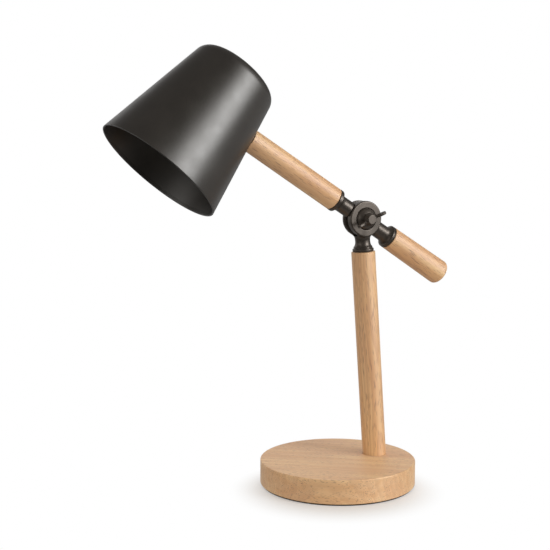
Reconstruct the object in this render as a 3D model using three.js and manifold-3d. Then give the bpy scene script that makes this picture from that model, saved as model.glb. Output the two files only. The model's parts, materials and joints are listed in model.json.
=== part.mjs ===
// Table lamp: round wooden foot, leaning post, one balanced arm and a bucket shade.
// A forked metal knuckle on the post clamps the eye of the arm with a bolt and a wing nut.
// Millimetres, +Z up. The origin is the centre of the foot's underside, where the lamp stands.
// The lamp lies in the XZ plane: the shade is towards -X, the short tail of the arm towards +X.

import * as THREE from 'three';
import { mergeVertices } from 'three/addons/utils/BufferGeometryUtils.js';
import Module from 'manifold-3d';

const wasm = await Module();
wasm.setup();

const { degToRad } = THREE.MathUtils;
const TURN = 2 * Math.PI;
const QUARTER = Math.PI / 2;

// Clearances and fineness
const seatGap = 0.3;        // between pieces that touch
const overrun = 2;          // how far a cut runs past the face it opens
const fineSides = 64;
const rodSides = 28;
const smallSides = 14;
const arcSteps = 3;

// Foot
const padThickness = 1.2;
const padInset = 1.6;
const baseRadius = 80;
const baseThickness = 24.3;
const baseTopRound = 1.1;
const baseBottomRound = 0.7;
const recessRadius = 62;
const recessDepth = 8;
const ballastGap = 0.8;
const ballastNotchWidth = 26;
const ballastNotchReach = 32;
const ballastScrewCircle = 46;
const ballastScrewCount = 3;
const screwShankRadius = 1.9;
const screwHeadRadius = 3.9;
const screwHeadHeight = 2.2;
const screwLength = 15;
const screwClearance = 0.4;
const inletHeight = 6.9;
const inletBarrelRadius = 4;
const inletBoreRadius = 3.2;
const inletFlangeRadius = 5.1;
const inletFlangeThickness = 1.5;

// Post
const postRadius = 12.3;
const postFootX = 44.6;
const postLean = degToRad(4.2);
const pivotHeightOnPost = 248.7;   // along the post, from the top of the foot to the pivot
const postSocketDepth = 9;
const postTopRound = 0.9;
const postBottomChamfer = 0.6;
const flexBoreRadius = 3.4;

// Hollow threaded tubes and their nuts
const tubeRadius = 4.9;
const tubeBoreRadius = 3;
const tubeHoleRadius = 5.2;
const tubeSeatDepth = 20;
const tubeNutAcross = 14;
const tubeNutHeight = 3.2;
const tubeWasherRadius = 9;
const tubeWasherThickness = 1;
const spotFaceDepth = 1.2;
const spotFaceRadius = 10.4;
const tubeProud = 0.8;

// Fork of the knuckle
const cheekRadius = 18.2;
const cheekRound = 0.8;
const frontCheekThickness = 6.4;
const rearCheekThickness = 4;
const forkSlotWidth = 7;
const forkCollarDrop = 34;          // along the post, from the pivot down to the wood
const forkCollarHeight = 4.3;
const forkCollarRadius = 10.9;
const forkLipRound = 0.9;
const forkNeckRadius = 7.7;
const forkNeckFlare = 0.5;
const forkNeckWaistDrop = 23;       // from the pivot down to the narrowest place
const forkStudDepth = 8;
const domeRecessRadius = 11.4;
const domeRecessDepth = 1.5;

// Eye of the arm
const eyeRadius = 17.6;
const eyeThickness = 5;
const eyeNeckRadius = 8.2;
const neckScoopGap = 0.5;
const upperFerruleReach = 34.9;     // along the arm, from the pivot to the wood
const tailFerruleReach = 40.3;
const upperLipHeight = 3.2;
const upperLipOverlap = 0.1;        // how far the lip stands proud of the wood
const tailLipHeight = 4.9;
const tailLipOverlap = 0;
const tailGrooveInset = 2.2;        // from the wood to the middle of the groove in the tail's lip
const tailGrooveDepth = 0.5;
const ferruleLipRound = 0.9;
const ferruleFlareLength = 3.4;
const eyeStudDepth = 7.6;
const leadChannelDepth = 4.1;
const leadChannelSweep = degToRad(150);
const leadChannelWall = 0.7;         // each side of the lead's channel in the eye
const leadBoreRadius = 2.4;
const shimRadius = 15;
const shimThickness = 0.4;

// Pivot bolt, domed washer and wing nut
const boltRadius = 3;
const boltHoleClearance = 0.3;
const boltHeadRadius = 9;
const boltHeadHeight = 3.8;
const boltSquare = 6.6;
const boltTipReach = 20;            // forward of the middle of the knuckle
const domeRadius = 10.9;
const domeEdgeHeight = 1.6;
const domeHeight = 6.6;
const domeCrownRadius = 4.6;
const wingHubBaseRadius = 6.6;
const wingHubTipRadius = 4.2;
const wingHubEndReach = 21.5;
const wingHubRound = 0.5;
const wingSpan = 17.6;
const wingTipRound = 2.4;
const wingTipReach = 23;
const wingThickness = 2.3;
const wingTilt = degToRad(23.7);
const wingRootRise = 0.9;

// Arm
const armRise = degToRad(32.2);
const armReach = 151;               // along the arm, from the pivot to the outside of the shade
const upperRodRadius = 11.8;
const upperRodTipRadius = 11.5;
const tailRodRadius = 12.05;
const tailRodTipRadius = 13.15;
const tailEndReach = 115.6;
const tailEndRound = 4;
const rodEdgeRound = 0.7;
const tailStudRadius = 4;
const tailStudDepth = 18;
const leadRadius = 1.7;

// Shade
const shadeRimRadius = 65;
const shadeTopRadius = 42.5;
const shadeHeight = 125.9;
const shadeWall = 0.9;
const shadeTopRound = 12.4;
const shadeHemHeight = 2.6;
const shadeHemThickness = 1.5;
const shadeEntryHeight = 84.8;      // from the rim plane to where the arm meets the wall
const shadeEntryAngle = degToRad(9.6);   // between the arm and the plane of the rim
const shadeHoleRadius = 5.4;

// Lampholder and its bracket
const bracketWidth = 14;
const bracketThickness = 2;
const bracketWallGap = 0.85;
const bracketFootLength = 10;
const bracketTongue = 9;
const bracketBend = 9;
const nippleNutHeight = 4;
const nippleEndReach = 12;          // inside the shade, from its outer face
const holderNutHeight = 3.5;
const holderTopRoom = 1.4;
const holderRadius = 14;
const holderWall = 1.8;
const holderShoulder = 4;
const holderCapHeight = 18;
const holderTubeDepth = 5;
const holderLength = 41.5;
const holderInsertGap = 0.6;
const holderFloor = 3.5;
const socketRadius = 7.4;
const socketDepth = 26;
const holderMouthRadius = 8.2;
const flexEntryDrop = 10.5;
const flexEntryRoom = 0.6;          // round the lead in the side of the holder

// Lamp bulb
const bulbCapRadius = 6.9;
const bulbCapLength = 24;
const bulbCapWall = 0.8;
const bulbPipRadius = 3;
const bulbPipHeight = 1.4;
const bulbNeckRadius = 7.3;
const bulbRadius = 22.5;
const bulbGlassWall = 1;
const bulbLeaveAngle = degToRad(52);     // how far round the ball runs before the neck begins
const bulbCentreDrop = 32.5;        // from the mouth of the holder to the middle of the ball

// Places worked out from the sizes above
const woodBottom = padThickness + seatGap;
const baseTop = woodBottom + baseThickness;
const recessCeiling = woodBottom + recessDepth;
const forkHalfSlot = forkSlotWidth / 2;
const frontFace = forkHalfSlot + frontCheekThickness;
const rearFace = forkHalfSlot + rearCheekThickness;
const eyeHalf = eyeThickness / 2;
const neckScoop = cheekRadius + neckScoopGap;
const slotRadius = neckScoop + seatGap;
const boltHoleRadius = boltRadius + boltHoleClearance;
const domeBase = frontFace - domeRecessDepth + seatGap;
const domeTop = domeBase + domeHeight;
const wingHubBase = domeTop + seatGap;
const wallAngle = Math.atan2(shadeRimRadius - shadeTopRadius, shadeHeight);
const entryRadius = shadeRimRadius - shadeEntryHeight * Math.tan(wallAngle);
const upperRodEnd = armReach - seatGap - upperRodTipRadius * Math.tan(Math.abs(wallAngle - shadeEntryAngle));
const bracketInnerFace = shadeWall + bracketWallGap + bracketThickness;
const bracketTop = shadeHeight - shadeWall - holderTopRoom - holderNutHeight - seatGap;
const holderTop = bracketTop - bracketThickness - seatGap;
const holderMouth = holderTop - holderLength;
const holderJoint = holderTop - holderCapHeight;

// Materials
const wood = new THREE.MeshStandardMaterial({ color: 0xd2a574, roughness: 0.5, metalness: 0 });
const bronze = new THREE.MeshStandardMaterial({ color: 0x554c46, roughness: 0.4, metalness: 0.8 });
const shadePaint = new THREE.MeshStandardMaterial({ color: 0x322d2a, roughness: 0.45, metalness: 0.2 });
const zinc = new THREE.MeshStandardMaterial({ color: 0xb9bbbd, roughness: 0.35, metalness: 1 });
const steelPlate = new THREE.MeshStandardMaterial({ color: 0x75777a, roughness: 0.6, metalness: 1 });
const darkFoam = new THREE.MeshStandardMaterial({ color: 0x1f1c1a, roughness: 0.95, metalness: 0 });
const blackMoulding = new THREE.MeshStandardMaterial({ color: 0x1c1b1b, roughness: 0.5, metalness: 0 });
const ceramic = new THREE.MeshStandardMaterial({ color: 0xe9e5dc, roughness: 0.4, metalness: 0 });
const nylon = new THREE.MeshStandardMaterial({ color: 0x35322f, roughness: 0.6, metalness: 0 });
const opalGlass = new THREE.MeshStandardMaterial({ color: 0xf4f1ea, roughness: 0.3, metalness: 0 });
const flexSheath = new THREE.MeshStandardMaterial({ color: 0x26211e, roughness: 0.6, metalness: 0 });

// A closed geometry as a solid, its faces pointing out
function solid(geometry) {
  const bare = geometry.clone();
  bare.deleteAttribute('normal');
  bare.deleteAttribute('uv');
  const merged = mergeVertices(bare);
  const corners = merged.attributes.position.array;
  const order = merged.index.array;
  const faces = [];
  let volume = 0;
  const [a, b, c] = [new THREE.Vector3(), new THREE.Vector3(), new THREE.Vector3()];
  for (let i = 0; i < order.length; i += 3) {
    const [p, q, r] = [order[i], order[i + 1], order[i + 2]];
    if (p === q || q === r || r === p) continue;
    faces.push(p, q, r);
    a.fromArray(corners, 3 * p);
    b.fromArray(corners, 3 * q);
    c.fromArray(corners, 3 * r);
    volume += a.dot(b.cross(c));
  }
  if (volume < 0) faces.reverse();
  const mesh = new wasm.Mesh({
    numProp: 3,
    vertProperties: new Float32Array(corners),
    triVerts: new Uint32Array(faces),
  });
  return new wasm.Manifold(mesh);
}

// A solid back as a geometry
function geometryOf(body) {
  const { vertProperties, triVerts, numProp } = body.getMesh();
  const corners = new Float32Array((vertProperties.length / numProp) * 3);
  for (let i = 0; i < corners.length / 3; i++) {
    corners.set(vertProperties.subarray(i * numProp, i * numProp + 3), i * 3);
  }
  const geometry = new THREE.BufferGeometry();
  geometry.setAttribute('position', new THREE.BufferAttribute(corners, 3));
  geometry.setIndex(new THREE.BufferAttribute(new Uint32Array(triVerts), 1));
  geometry.computeVertexNormals();
  return geometry;
}

function piece(name, body, material) {
  const mesh = new THREE.Mesh(geometryOf(body), material);
  mesh.name = name;
  return mesh;
}

// A profile of radius and height, turned about +Z
function revolve(path, sides, steps = arcSteps) {
  return new THREE.LatheGeometry(path.getPoints(steps), sides).rotateX(QUARTER);
}

// A profile whose first and last points meet, turned about +Z
function revolveRing(path, sides, steps = arcSteps) {
  path.closePath();
  return revolve(path, sides, steps);
}

function cylinder(radius, low, high, sides) {
  const path = new THREE.Path().moveTo(0, low).lineTo(radius, low).lineTo(radius, high).lineTo(0, high);
  return revolve(path, sides);
}

function tube(radius, bore, low, high, sides) {
  const path = new THREE.Path().moveTo(bore, low).lineTo(radius, low).lineTo(radius, high).lineTo(bore, high);
  return revolveRing(path, sides);
}

// Turns a shape made along +Z so that it points forward, along -Y
function forward(geometry) {
  return geometry.rotateX(QUARTER);
}

// Turns a shape made along +Z so that it points along +X
function sideways(geometry) {
  return geometry.rotateY(QUARTER);
}

function hexagon(across, low, high, bore) {
  const corner = across / Math.sqrt(3);
  const shape = new THREE.Shape();
  for (let i = 0; i < 6; i++) {
    const angle = (i * TURN) / 6;
    const [x, y] = [corner * Math.cos(angle), corner * Math.sin(angle)];
    if (i === 0) shape.moveTo(x, y);
    else shape.lineTo(x, y);
  }
  shape.closePath();
  const prism = new THREE.ExtrudeGeometry(shape, { depth: high - low, bevelEnabled: false });
  const hole = cylinder(bore, low - overrun, high + overrun, smallSides);
  return solid(prism.translate(0, 0, low)).subtract(solid(hole));
}

function tubeWasher(low) {
  return solid(tube(tubeWasherRadius, tubeHoleRadius, low, low + tubeWasherThickness, smallSides));
}

function slab(width, depth, low, high) {
  return new THREE.BoxGeometry(width, depth, high - low).translate(0, 0, (low + high) / 2);
}

// Foot: a turned disc with a recess below for the ballast, a leaning socket for the post,
// a square seat for its nut and an inlet through the back of the rim
function basePieces(postFrame) {
  const inPost = (geometry) => solid(geometry.applyMatrix4(postFrame));
  const rimLow = baseRadius - baseBottomRound;
  const rimHigh = baseRadius - baseTopRound;
  const profile = new THREE.Path()
    .moveTo(0, recessCeiling)
    .lineTo(recessRadius, recessCeiling)
    .lineTo(recessRadius, woodBottom)
    .lineTo(rimLow, woodBottom)
    .lineTo(baseRadius, woodBottom + baseBottomRound)
    .lineTo(baseRadius, baseTop - baseTopRound)
    .quadraticCurveTo(baseRadius, baseTop, rimHigh, baseTop)
    .lineTo(0, baseTop);
  const inletRadius = inletBarrelRadius + seatGap;
  const inletHole = sideways(cylinder(inletRadius, recessRadius - overrun, baseRadius + overrun, smallSides));
  let disc = solid(revolve(profile, fineSides))
    .subtract(inPost(cylinder(postRadius + seatGap, -postSocketDepth, postRadius, rodSides)))
    .subtract(inPost(cylinder(tubeHoleRadius, nutSeat() - overrun, -postSocketDepth + overrun, smallSides)))
    .subtract(inPost(cylinder(spotFaceRadius, nutSeat() - spotFaceDepth - overrun, nutSeat(), smallSides)))
    .subtract(solid(inletHole.translate(0, 0, inletHeight)));

  const ballastLow = woodBottom + ballastGap / 2;
  const ballastHigh = recessCeiling - seatGap;
  const notch = new THREE.Shape()
    .moveTo(baseRadius, ballastNotchWidth / 2)
    .lineTo(ballastNotchReach + ballastNotchWidth / 2, ballastNotchWidth / 2)
    .absarc(ballastNotchReach + ballastNotchWidth / 2, 0, ballastNotchWidth / 2, QUARTER, 3 * QUARTER)
    .lineTo(baseRadius, -ballastNotchWidth / 2);
  const notchCut = new THREE.ExtrudeGeometry(notch, {
    depth: recessDepth + 2 * overrun, bevelEnabled: false, curveSegments: arcSteps,
  });
  let ballast = solid(cylinder(recessRadius - ballastGap, ballastLow, ballastHigh, rodSides))
    .subtract(solid(notchCut.translate(0, 0, woodBottom - overrun)));

  const screws = [];
  for (let i = 0; i < ballastScrewCount; i++) {
    const angle = QUARTER + (i * Math.PI) / (ballastScrewCount - 1);
    const [x, y] = [ballastScrewCircle * Math.cos(angle), ballastScrewCircle * Math.sin(angle)];
    const headPath = (grow, tip) => new THREE.Path()
      .moveTo(0, ballastLow)
      .lineTo(screwHeadRadius + grow, ballastLow)
      .lineTo(screwShankRadius + grow, ballastLow + screwHeadHeight)
      .lineTo(screwShankRadius + grow, ballastLow + tip - screwShankRadius)
      .lineTo(0, ballastLow + tip);
    const holePath = headPath(screwClearance, screwLength + overrun);
    const hole = solid(revolve(holePath, smallSides).translate(x, y, 0));
    const mouthRadius = screwHeadRadius + screwClearance;
    const mouthPath = cylinder(mouthRadius, ballastLow - overrun, ballastLow, smallSides);
    const mouth = solid(mouthPath.translate(x, y, 0));
    disc = disc.subtract(hole);
    ballast = ballast.subtract(hole).subtract(mouth);
    screws.push(piece(`ballast_screw_${i + 1}`,
      solid(revolve(headPath(0, screwLength), smallSides).translate(x, y, 0)), zinc));
  }

  const bushPath = new THREE.Path()
    .moveTo(inletBoreRadius, recessRadius + seatGap)
    .lineTo(inletBarrelRadius, recessRadius + seatGap)
    .lineTo(inletBarrelRadius, baseRadius + seatGap)
    .lineTo(inletFlangeRadius, baseRadius + seatGap)
    .lineTo(inletFlangeRadius - inletFlangeThickness / 2, baseRadius + seatGap + inletFlangeThickness)
    .lineTo(inletBoreRadius, baseRadius + seatGap + inletFlangeThickness);
  const bush = sideways(revolveRing(bushPath, smallSides)).translate(0, 0, inletHeight);

  return [
    piece('base_pad', solid(cylinder(baseRadius - padInset, 0, padThickness, fineSides)), darkFoam),
    piece('base_disc', disc, wood),
    piece('ballast_plate', ballast, steelPlate),
    ...screws,
    piece('cord_inlet_bush', solid(bush), blackMoulding),
  ];
}

// Where the nut's seat is on the post's axis, below the top of the foot
function nutSeat() {
  return (recessCeiling - baseTop) / Math.cos(postLean) + spotFaceDepth;
}

// Post: a bored rod in its leaning socket, pulled down by a hollow threaded tube
function postPieces() {
  const bottom = -postSocketDepth + seatGap;
  const top = pivotHeightOnPost - forkCollarDrop;
  const profile = new THREE.Path()
    .moveTo(0, bottom)
    .lineTo(postRadius - postBottomChamfer, bottom)
    .lineTo(postRadius, bottom + postBottomChamfer)
    .lineTo(postRadius, top - postTopRound)
    .quadraticCurveTo(postRadius, top, postRadius - postTopRound, top)
    .lineTo(0, top);
  const tubeTop = bottom + tubeSeatDepth;
  const studLow = top - tubeSeatDepth + seatGap;
  const rod = solid(revolve(profile, rodSides))
    .subtract(solid(cylinder(flexBoreRadius, bottom - overrun, top + overrun, smallSides)))
    .subtract(solid(cylinder(tubeHoleRadius, bottom - overrun, tubeTop + seatGap, smallSides)))
    .subtract(solid(cylinder(tubeHoleRadius, top - tubeSeatDepth, top + overrun, smallSides)));
  const washerTop = nutSeat() - seatGap;
  const nutTop = washerTop - tubeWasherThickness - seatGap;
  const tubeLow = nutTop - tubeNutHeight - tubeProud;
  const slotFloor = pivotHeightOnPost - slotRadius;
  return [
    piece('post_rod', rod, wood),
    piece('post_anchor_tube', solid(tube(tubeRadius, tubeBoreRadius, tubeLow, tubeTop, smallSides)), zinc),
    piece('post_anchor_washer', tubeWasher(washerTop - tubeWasherThickness), zinc),
    piece('post_anchor_nut', hexagon(tubeNutAcross, nutTop - tubeNutHeight, nutTop, tubeHoleRadius), zinc),
    piece('fork_stud',
      solid(tube(tubeRadius, tubeBoreRadius, studLow, top + forkStudDepth - seatGap, smallSides)), zinc),
    piece('post_lead', solid(cylinder(leadRadius, tubeLow, slotFloor - seatGap, smallSides)), flexSheath),
  ];
}

// Fork: two round cheeks on a waisted neck with a lipped collar, cast in one.
// The front cheek has a round recess for the domed washer, the rear one a square hole.
function forkPiece() {
  const cheek = (inner, outer) => {
    const path = new THREE.Path()
      .moveTo(0, inner)
      .lineTo(cheekRadius, inner)
      .lineTo(cheekRadius, outer - cheekRound)
      .lineTo(cheekRadius - cheekRound, outer)
      .lineTo(0, outer);
    return forward(revolve(path, rodSides));
  };
  const frontCheek = solid(cheek(forkHalfSlot - seatGap, frontFace));
  const rearCheek = solid(cheek(forkHalfSlot - seatGap, rearFace).rotateZ(Math.PI));
  const bottom = -forkCollarDrop + seatGap;
  const collarTop = bottom + forkCollarHeight;
  const flareTop = -Math.sqrt(cheekRadius ** 2 - (forkNeckRadius + forkNeckFlare) ** 2);
  const neck = new THREE.Path()
    .moveTo(0, bottom)
    .lineTo(forkCollarRadius - forkLipRound, bottom)
    .quadraticCurveTo(forkCollarRadius, bottom, forkCollarRadius, bottom + forkLipRound)
    .lineTo(forkCollarRadius, collarTop - forkLipRound)
    .quadraticCurveTo(forkCollarRadius, collarTop, forkCollarRadius - forkLipRound, collarTop)
    .quadraticCurveTo(forkNeckRadius, collarTop, forkNeckRadius, -forkNeckWaistDrop)
    .quadraticCurveTo(forkNeckRadius, flareTop, forkNeckRadius + forkNeckFlare, flareTop)
    .lineTo(forkNeckRadius, -cheekRadius / 2)
    .lineTo(0, -cheekRadius / 2);
  const slot = cylinder(slotRadius, -forkHalfSlot, forkHalfSlot, rodSides);
  const boltHole = cylinder(boltHoleRadius, 0, frontFace + overrun, smallSides);
  const domeRecess = cylinder(domeRecessRadius, frontFace - domeRecessDepth, frontFace + overrun, rodSides);
  const squareSide = boltSquare + 2 * seatGap;
  const squareHole = slab(squareSide, squareSide, -rearFace - overrun, 0);
  return solid(revolve(neck, rodSides))
    .add(frontCheek)
    .add(rearCheek)
    .subtract(solid(forward(slot)))
    .subtract(solid(forward(boltHole)))
    .subtract(solid(forward(domeRecess)))
    .subtract(solid(forward(squareHole)))
    .subtract(solid(cylinder(leadBoreRadius, bottom - overrun, -cheekRadius / 2, smallSides)))
    .subtract(solid(cylinder(tubeHoleRadius, bottom - overrun, bottom + forkStudDepth, smallSides)));
}

// Carriage bolt: domed head behind, square neck in the rear cheek, shank through the knuckle
function pivotBolt() {
  const seat = -rearFace - seatGap;
  const profile = new THREE.Path()
    .moveTo(0, seat - boltHeadHeight)
    .quadraticCurveTo(boltHeadRadius, seat - boltHeadHeight, boltHeadRadius, seat - boltHeadHeight / 4)
    .lineTo(boltHeadRadius, seat)
    .lineTo(boltRadius, seat)
    .lineTo(boltRadius, boltTipReach - boltHoleClearance)
    .lineTo(boltRadius - boltHoleClearance, boltTipReach)
    .lineTo(0, boltTipReach);
  const neck = slab(boltSquare, boltSquare, seat - seatGap, -forkHalfSlot - seatGap);
  return solid(forward(revolve(profile, smallSides))).add(solid(forward(neck)));
}

// Thin shim between the eye and a cheek
function shim(side) {
  const middle = (side * (forkHalfSlot + eyeHalf)) / 2;
  const [low, high] = [middle - shimThickness / 2, middle + shimThickness / 2];
  return solid(forward(tube(shimRadius, boltHoleRadius, low, high, rodSides)));
}

// Domed washer in the recess of the front cheek
function domedWasher() {
  const profile = new THREE.Path()
    .moveTo(boltHoleRadius, domeBase)
    .lineTo(domeRadius, domeBase)
    .lineTo(domeRadius, domeBase + domeEdgeHeight)
    .quadraticCurveTo(domeRadius - domeEdgeHeight, domeTop - domeEdgeHeight, domeCrownRadius, domeTop)
    .lineTo(boltHoleRadius, domeTop);
  return solid(forward(revolveRing(profile, rodSides, arcSteps + 1)));
}

// Wing nut: a tapered blind hub with two upswept wings
function wingNut() {
  const hub = new THREE.Path()
    .moveTo(0, wingHubBase)
    .lineTo(wingHubBaseRadius, wingHubBase)
    .lineTo(wingHubBaseRadius, wingHubBase + wingRootRise)
    .lineTo(wingHubTipRadius, wingHubEndReach - wingHubRound)
    .lineTo(wingHubTipRadius - wingHubRound, wingHubEndReach)
    .lineTo(0, wingHubEndReach);
  const wingLow = wingHubBase + wingRootRise;
  const wingSaddle = wingHubEndReach - wingTipRound;
  const tipX = wingSpan - wingTipRound;
  const tipY = wingTipReach - wingTipRound;
  const outline = new THREE.Shape()
    .moveTo(0, wingLow)
    .lineTo(wingHubBaseRadius, wingLow)
    .quadraticCurveTo(tipX, wingLow + wingRootRise, wingSpan, tipY - wingTipRound / 2)
    .lineTo(wingSpan, tipY)
    .absarc(tipX, tipY, wingTipRound, 0, QUARTER)
    .quadraticCurveTo(wingHubBaseRadius + wingTipRound, wingTipReach, wingHubBaseRadius, wingSaddle)
    .lineTo(0, wingSaddle);
  const edge = wingThickness / 4;
  const wing = new THREE.ExtrudeGeometry(outline, {
    depth: wingThickness - 2 * edge, bevelEnabled: true, bevelSize: edge, bevelThickness: edge,
    bevelOffset: -edge, bevelSegments: 2, curveSegments: arcSteps,
  });
  // The outline is drawn as span by forward reach: +Y of the outline becomes -Y of the lamp
  const upright = wing.translate(0, 0, -wingThickness / 2 + edge).rotateX(Math.PI);
  const rightWing = solid(upright.clone());
  const leftWing = solid(upright.clone().rotateY(Math.PI));
  const bore = cylinder(boltHoleRadius, wingHubBase - overrun, boltTipReach + seatGap, smallSides);
  return solid(forward(revolve(hub, smallSides)))
    .add(rightWing)
    .add(leftWing)
    .subtract(solid(forward(bore)));
}

// One neck of the eye: a plain waist that flares into a lip of the given radius
function neckPath(lip, lipLow) {
  return new THREE.Path()
    .moveTo(0, eyeRadius / 2)
    .lineTo(eyeNeckRadius, eyeRadius / 2)
    .lineTo(eyeNeckRadius, lipLow - ferruleFlareLength)
    .quadraticCurveTo(eyeNeckRadius, lipLow, lip - ferruleLipRound, lipLow)
    .quadraticCurveTo(lip, lipLow, lip, lipLow + ferruleLipRound);
}

// The upper neck ends in a plain lip that stands a little proud of the wood
function upperNeck() {
  const end = upperFerruleReach - seatGap;
  const lip = upperRodRadius + upperLipOverlap;
  const path = neckPath(lip, end - upperLipHeight)
    .lineTo(lip, end - ferruleLipRound)
    .lineTo(upperRodRadius - ferruleLipRound, end)
    .lineTo(0, end);
  return revolve(path, rodSides);
}

// The tail's neck ends in a longer lip with a groove round it, level with the wood
function tailNeck() {
  const end = tailFerruleReach - seatGap;
  const lip = tailRodRadius + tailLipOverlap;
  const groove = end - tailGrooveInset;
  const path = neckPath(lip, end - tailLipHeight)
    .lineTo(lip, groove - tailGrooveDepth)
    .lineTo(lip - tailGrooveDepth, groove)
    .lineTo(lip, groove + tailGrooveDepth)
    .lineTo(lip, end - ferruleLipRound / 2)
    .lineTo(lip - ferruleLipRound / 2, end)
    .lineTo(0, end);
  return revolve(path, rodSides).rotateX(Math.PI);
}

// Eye of the arm: a flat round eye with a neck and collar each way, cast in one.
// The necks are scooped to clear the cheeks, and a channel in the rim leads the wire round the pivot.
function eyePiece() {
  const disc = forward(cylinder(eyeRadius, -eyeHalf, eyeHalf, rodSides));
  const scoop = (low, high) => solid(forward(cylinder(neckScoop, low, high, rodSides)));
  const far = upperRodRadius + overrun;
  const channelInner = eyeRadius - leadChannelDepth;
  const channelStart = -Math.asin(leadBoreRadius / channelInner);
  const channel = new THREE.Shape()
    .absarc(0, 0, neckScoop, channelStart, leadChannelSweep, false)
    .absarc(0, 0, channelInner, leadChannelSweep, channelStart, true);
  // Drawn from +X anticlockwise, then turned so that it starts on the arm and opens towards the post
  const channelCut = new THREE.ExtrudeGeometry(channel, {
    depth: eyeThickness - 2 * leadChannelWall, bevelEnabled: false, curveSegments: 3 * arcSteps,
  }).translate(0, 0, -eyeHalf + leadChannelWall).rotateX(QUARTER).rotateY(-QUARTER);
  const upperEnd = upperFerruleReach - seatGap;
  const tailEnd = tailFerruleReach - seatGap;
  const tailHoleRadius = tailStudRadius + seatGap;
  const tailHole = cylinder(tailHoleRadius, -tailEnd - overrun, -tailEnd + eyeStudDepth, smallSides);
  return solid(disc)
    .add(solid(upperNeck()))
    .add(solid(tailNeck()))
    .subtract(scoop(eyeHalf, far))
    .subtract(scoop(-far, -eyeHalf))
    .subtract(solid(channelCut))
    .subtract(solid(forward(cylinder(boltHoleRadius, -eyeThickness, eyeThickness, smallSides))))
    .subtract(solid(cylinder(leadBoreRadius, neckScoop - overrun, upperEnd + overrun, smallSides)))
    .subtract(solid(cylinder(tubeHoleRadius, upperEnd - eyeStudDepth, upperEnd + overrun, smallSides)))
    .subtract(solid(tailHole));
}

// A turned and slightly tapered rod from one place on the arm to another
function rodProfile(start, end, startRadius, endRadius, startRound, endRound) {
  return new THREE.Path()
    .moveTo(0, start)
    .lineTo(startRadius - startRound, start)
    .lineTo(startRadius, start + startRound)
    .lineTo(endRadius, end - endRound)
    .quadraticCurveTo(endRadius, end, endRadius - endRound, end)
    .lineTo(0, end);
}

function armPieces() {
  const upperStart = upperFerruleReach;
  const upperLength = [upperStart, upperRodEnd];
  const upper = rodProfile(...upperLength, upperRodRadius, upperRodTipRadius, rodEdgeRound, rodEdgeRound / 2);
  const shadeEndLow = upperRodEnd - tubeSeatDepth;
  const upperRod = solid(revolve(upper, rodSides))
    .subtract(solid(cylinder(flexBoreRadius, upperStart - overrun, upperRodEnd + overrun, smallSides)))
    .subtract(solid(cylinder(tubeHoleRadius, upperStart - overrun, upperStart + tubeSeatDepth, smallSides)))
    .subtract(solid(cylinder(tubeHoleRadius, shadeEndLow, upperRodEnd + overrun, smallSides)));
  const tailLength = [tailFerruleReach, tailEndReach];
  const tail = rodProfile(...tailLength, tailRodRadius, tailRodTipRadius, rodEdgeRound, tailEndRound);
  const tailRod = solid(revolve(tail, rodSides))
    .subtract(solid(cylinder(tailStudRadius + seatGap, 0, tailFerruleReach + tailStudDepth, smallSides)));
  const upperStudLow = upperStart - eyeStudDepth;
  const upperStudHigh = upperStart + tubeSeatDepth - seatGap;
  const tailStudLow = tailFerruleReach - eyeStudDepth;
  const tailStudHigh = tailFerruleReach + tailStudDepth - seatGap;
  const upperStud = tube(tubeRadius, tubeBoreRadius, upperStudLow, upperStudHigh, smallSides);
  const nippleLow = shadeEndLow + seatGap;
  const nippleHigh = armReach + nippleEndReach;
  const washerLow = armReach + bracketInnerFace + seatGap
    + tubeWasherRadius * Math.tan(Math.abs(wallAngle - shadeEntryAngle));
  const nutLow = washerLow + tubeWasherThickness + seatGap;
  return [
    piece('arm_eye', eyePiece(), bronze),
    piece('upper_arm_stud', solid(upperStud), zinc),
    piece('tail_arm_stud',
      solid(cylinder(tailStudRadius, tailStudLow, tailStudHigh, smallSides).rotateX(Math.PI)), zinc),
    piece('upper_arm_rod', upperRod, wood),
    piece('tail_arm_rod', solid(geometryOf(tailRod).rotateX(Math.PI)), wood),
    piece('arm_lead', solid(cylinder(leadRadius, neckScoop + seatGap, nippleHigh, smallSides)), flexSheath),
    piece('shade_nipple', solid(tube(tubeRadius, tubeBoreRadius, nippleLow, nippleHigh, smallSides)), zinc),
    piece('shade_nipple_washer', tubeWasher(washerLow), zinc),
    piece('shade_nipple_nut', hexagon(tubeNutAcross, nutLow, nutLow + nippleNutHeight, tubeHoleRadius), zinc),
  ];
}

// Shade: a spun bucket with a rounded shoulder, a flat closed top and a hem turned in at the rim.
// Its frame has the origin in the rim plane, +Z to the closed top and +X to the arm.
function shadeShell() {
  const slope = Math.tan(wallAngle);
  const roundCentre = (wall) => {
    const round = shadeTopRound - wall;
    const z = shadeHeight - shadeTopRound;
    const r = shadeRimRadius - slope * z - shadeTopRound / Math.cos(wallAngle);
    return { round, r, z };
  };
  const outer = roundCentre(0);
  const inner = roundCentre(shadeWall);
  const wallOffset = shadeWall / Math.cos(wallAngle);
  const hem = shadeHemThickness / Math.cos(wallAngle);
  const profile = new THREE.Path()
    .moveTo(shadeRimRadius - hem, 0)
    .lineTo(shadeRimRadius, 0)
    .absarc(outer.r, outer.z, outer.round, wallAngle, QUARTER, false)
    .lineTo(0, shadeHeight)
    .lineTo(0, shadeHeight - shadeWall)
    .absarc(inner.r, inner.z, inner.round, QUARTER, wallAngle, true)
    .lineTo(shadeRimRadius - slope * shadeHemHeight - wallOffset, shadeHemHeight)
    .lineTo(shadeRimRadius - slope * shadeHemHeight - hem, shadeHemHeight);
  return solid(revolveRing(profile, fineSides));
}

// The arm's axis in the shade's frame, from where it meets the wall
function onArmAxis(distance) {
  const inward = distance * Math.cos(shadeEntryAngle);
  return new THREE.Vector3(entryRadius - inward, 0, shadeEntryHeight - distance * Math.sin(shadeEntryAngle));
}

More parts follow.
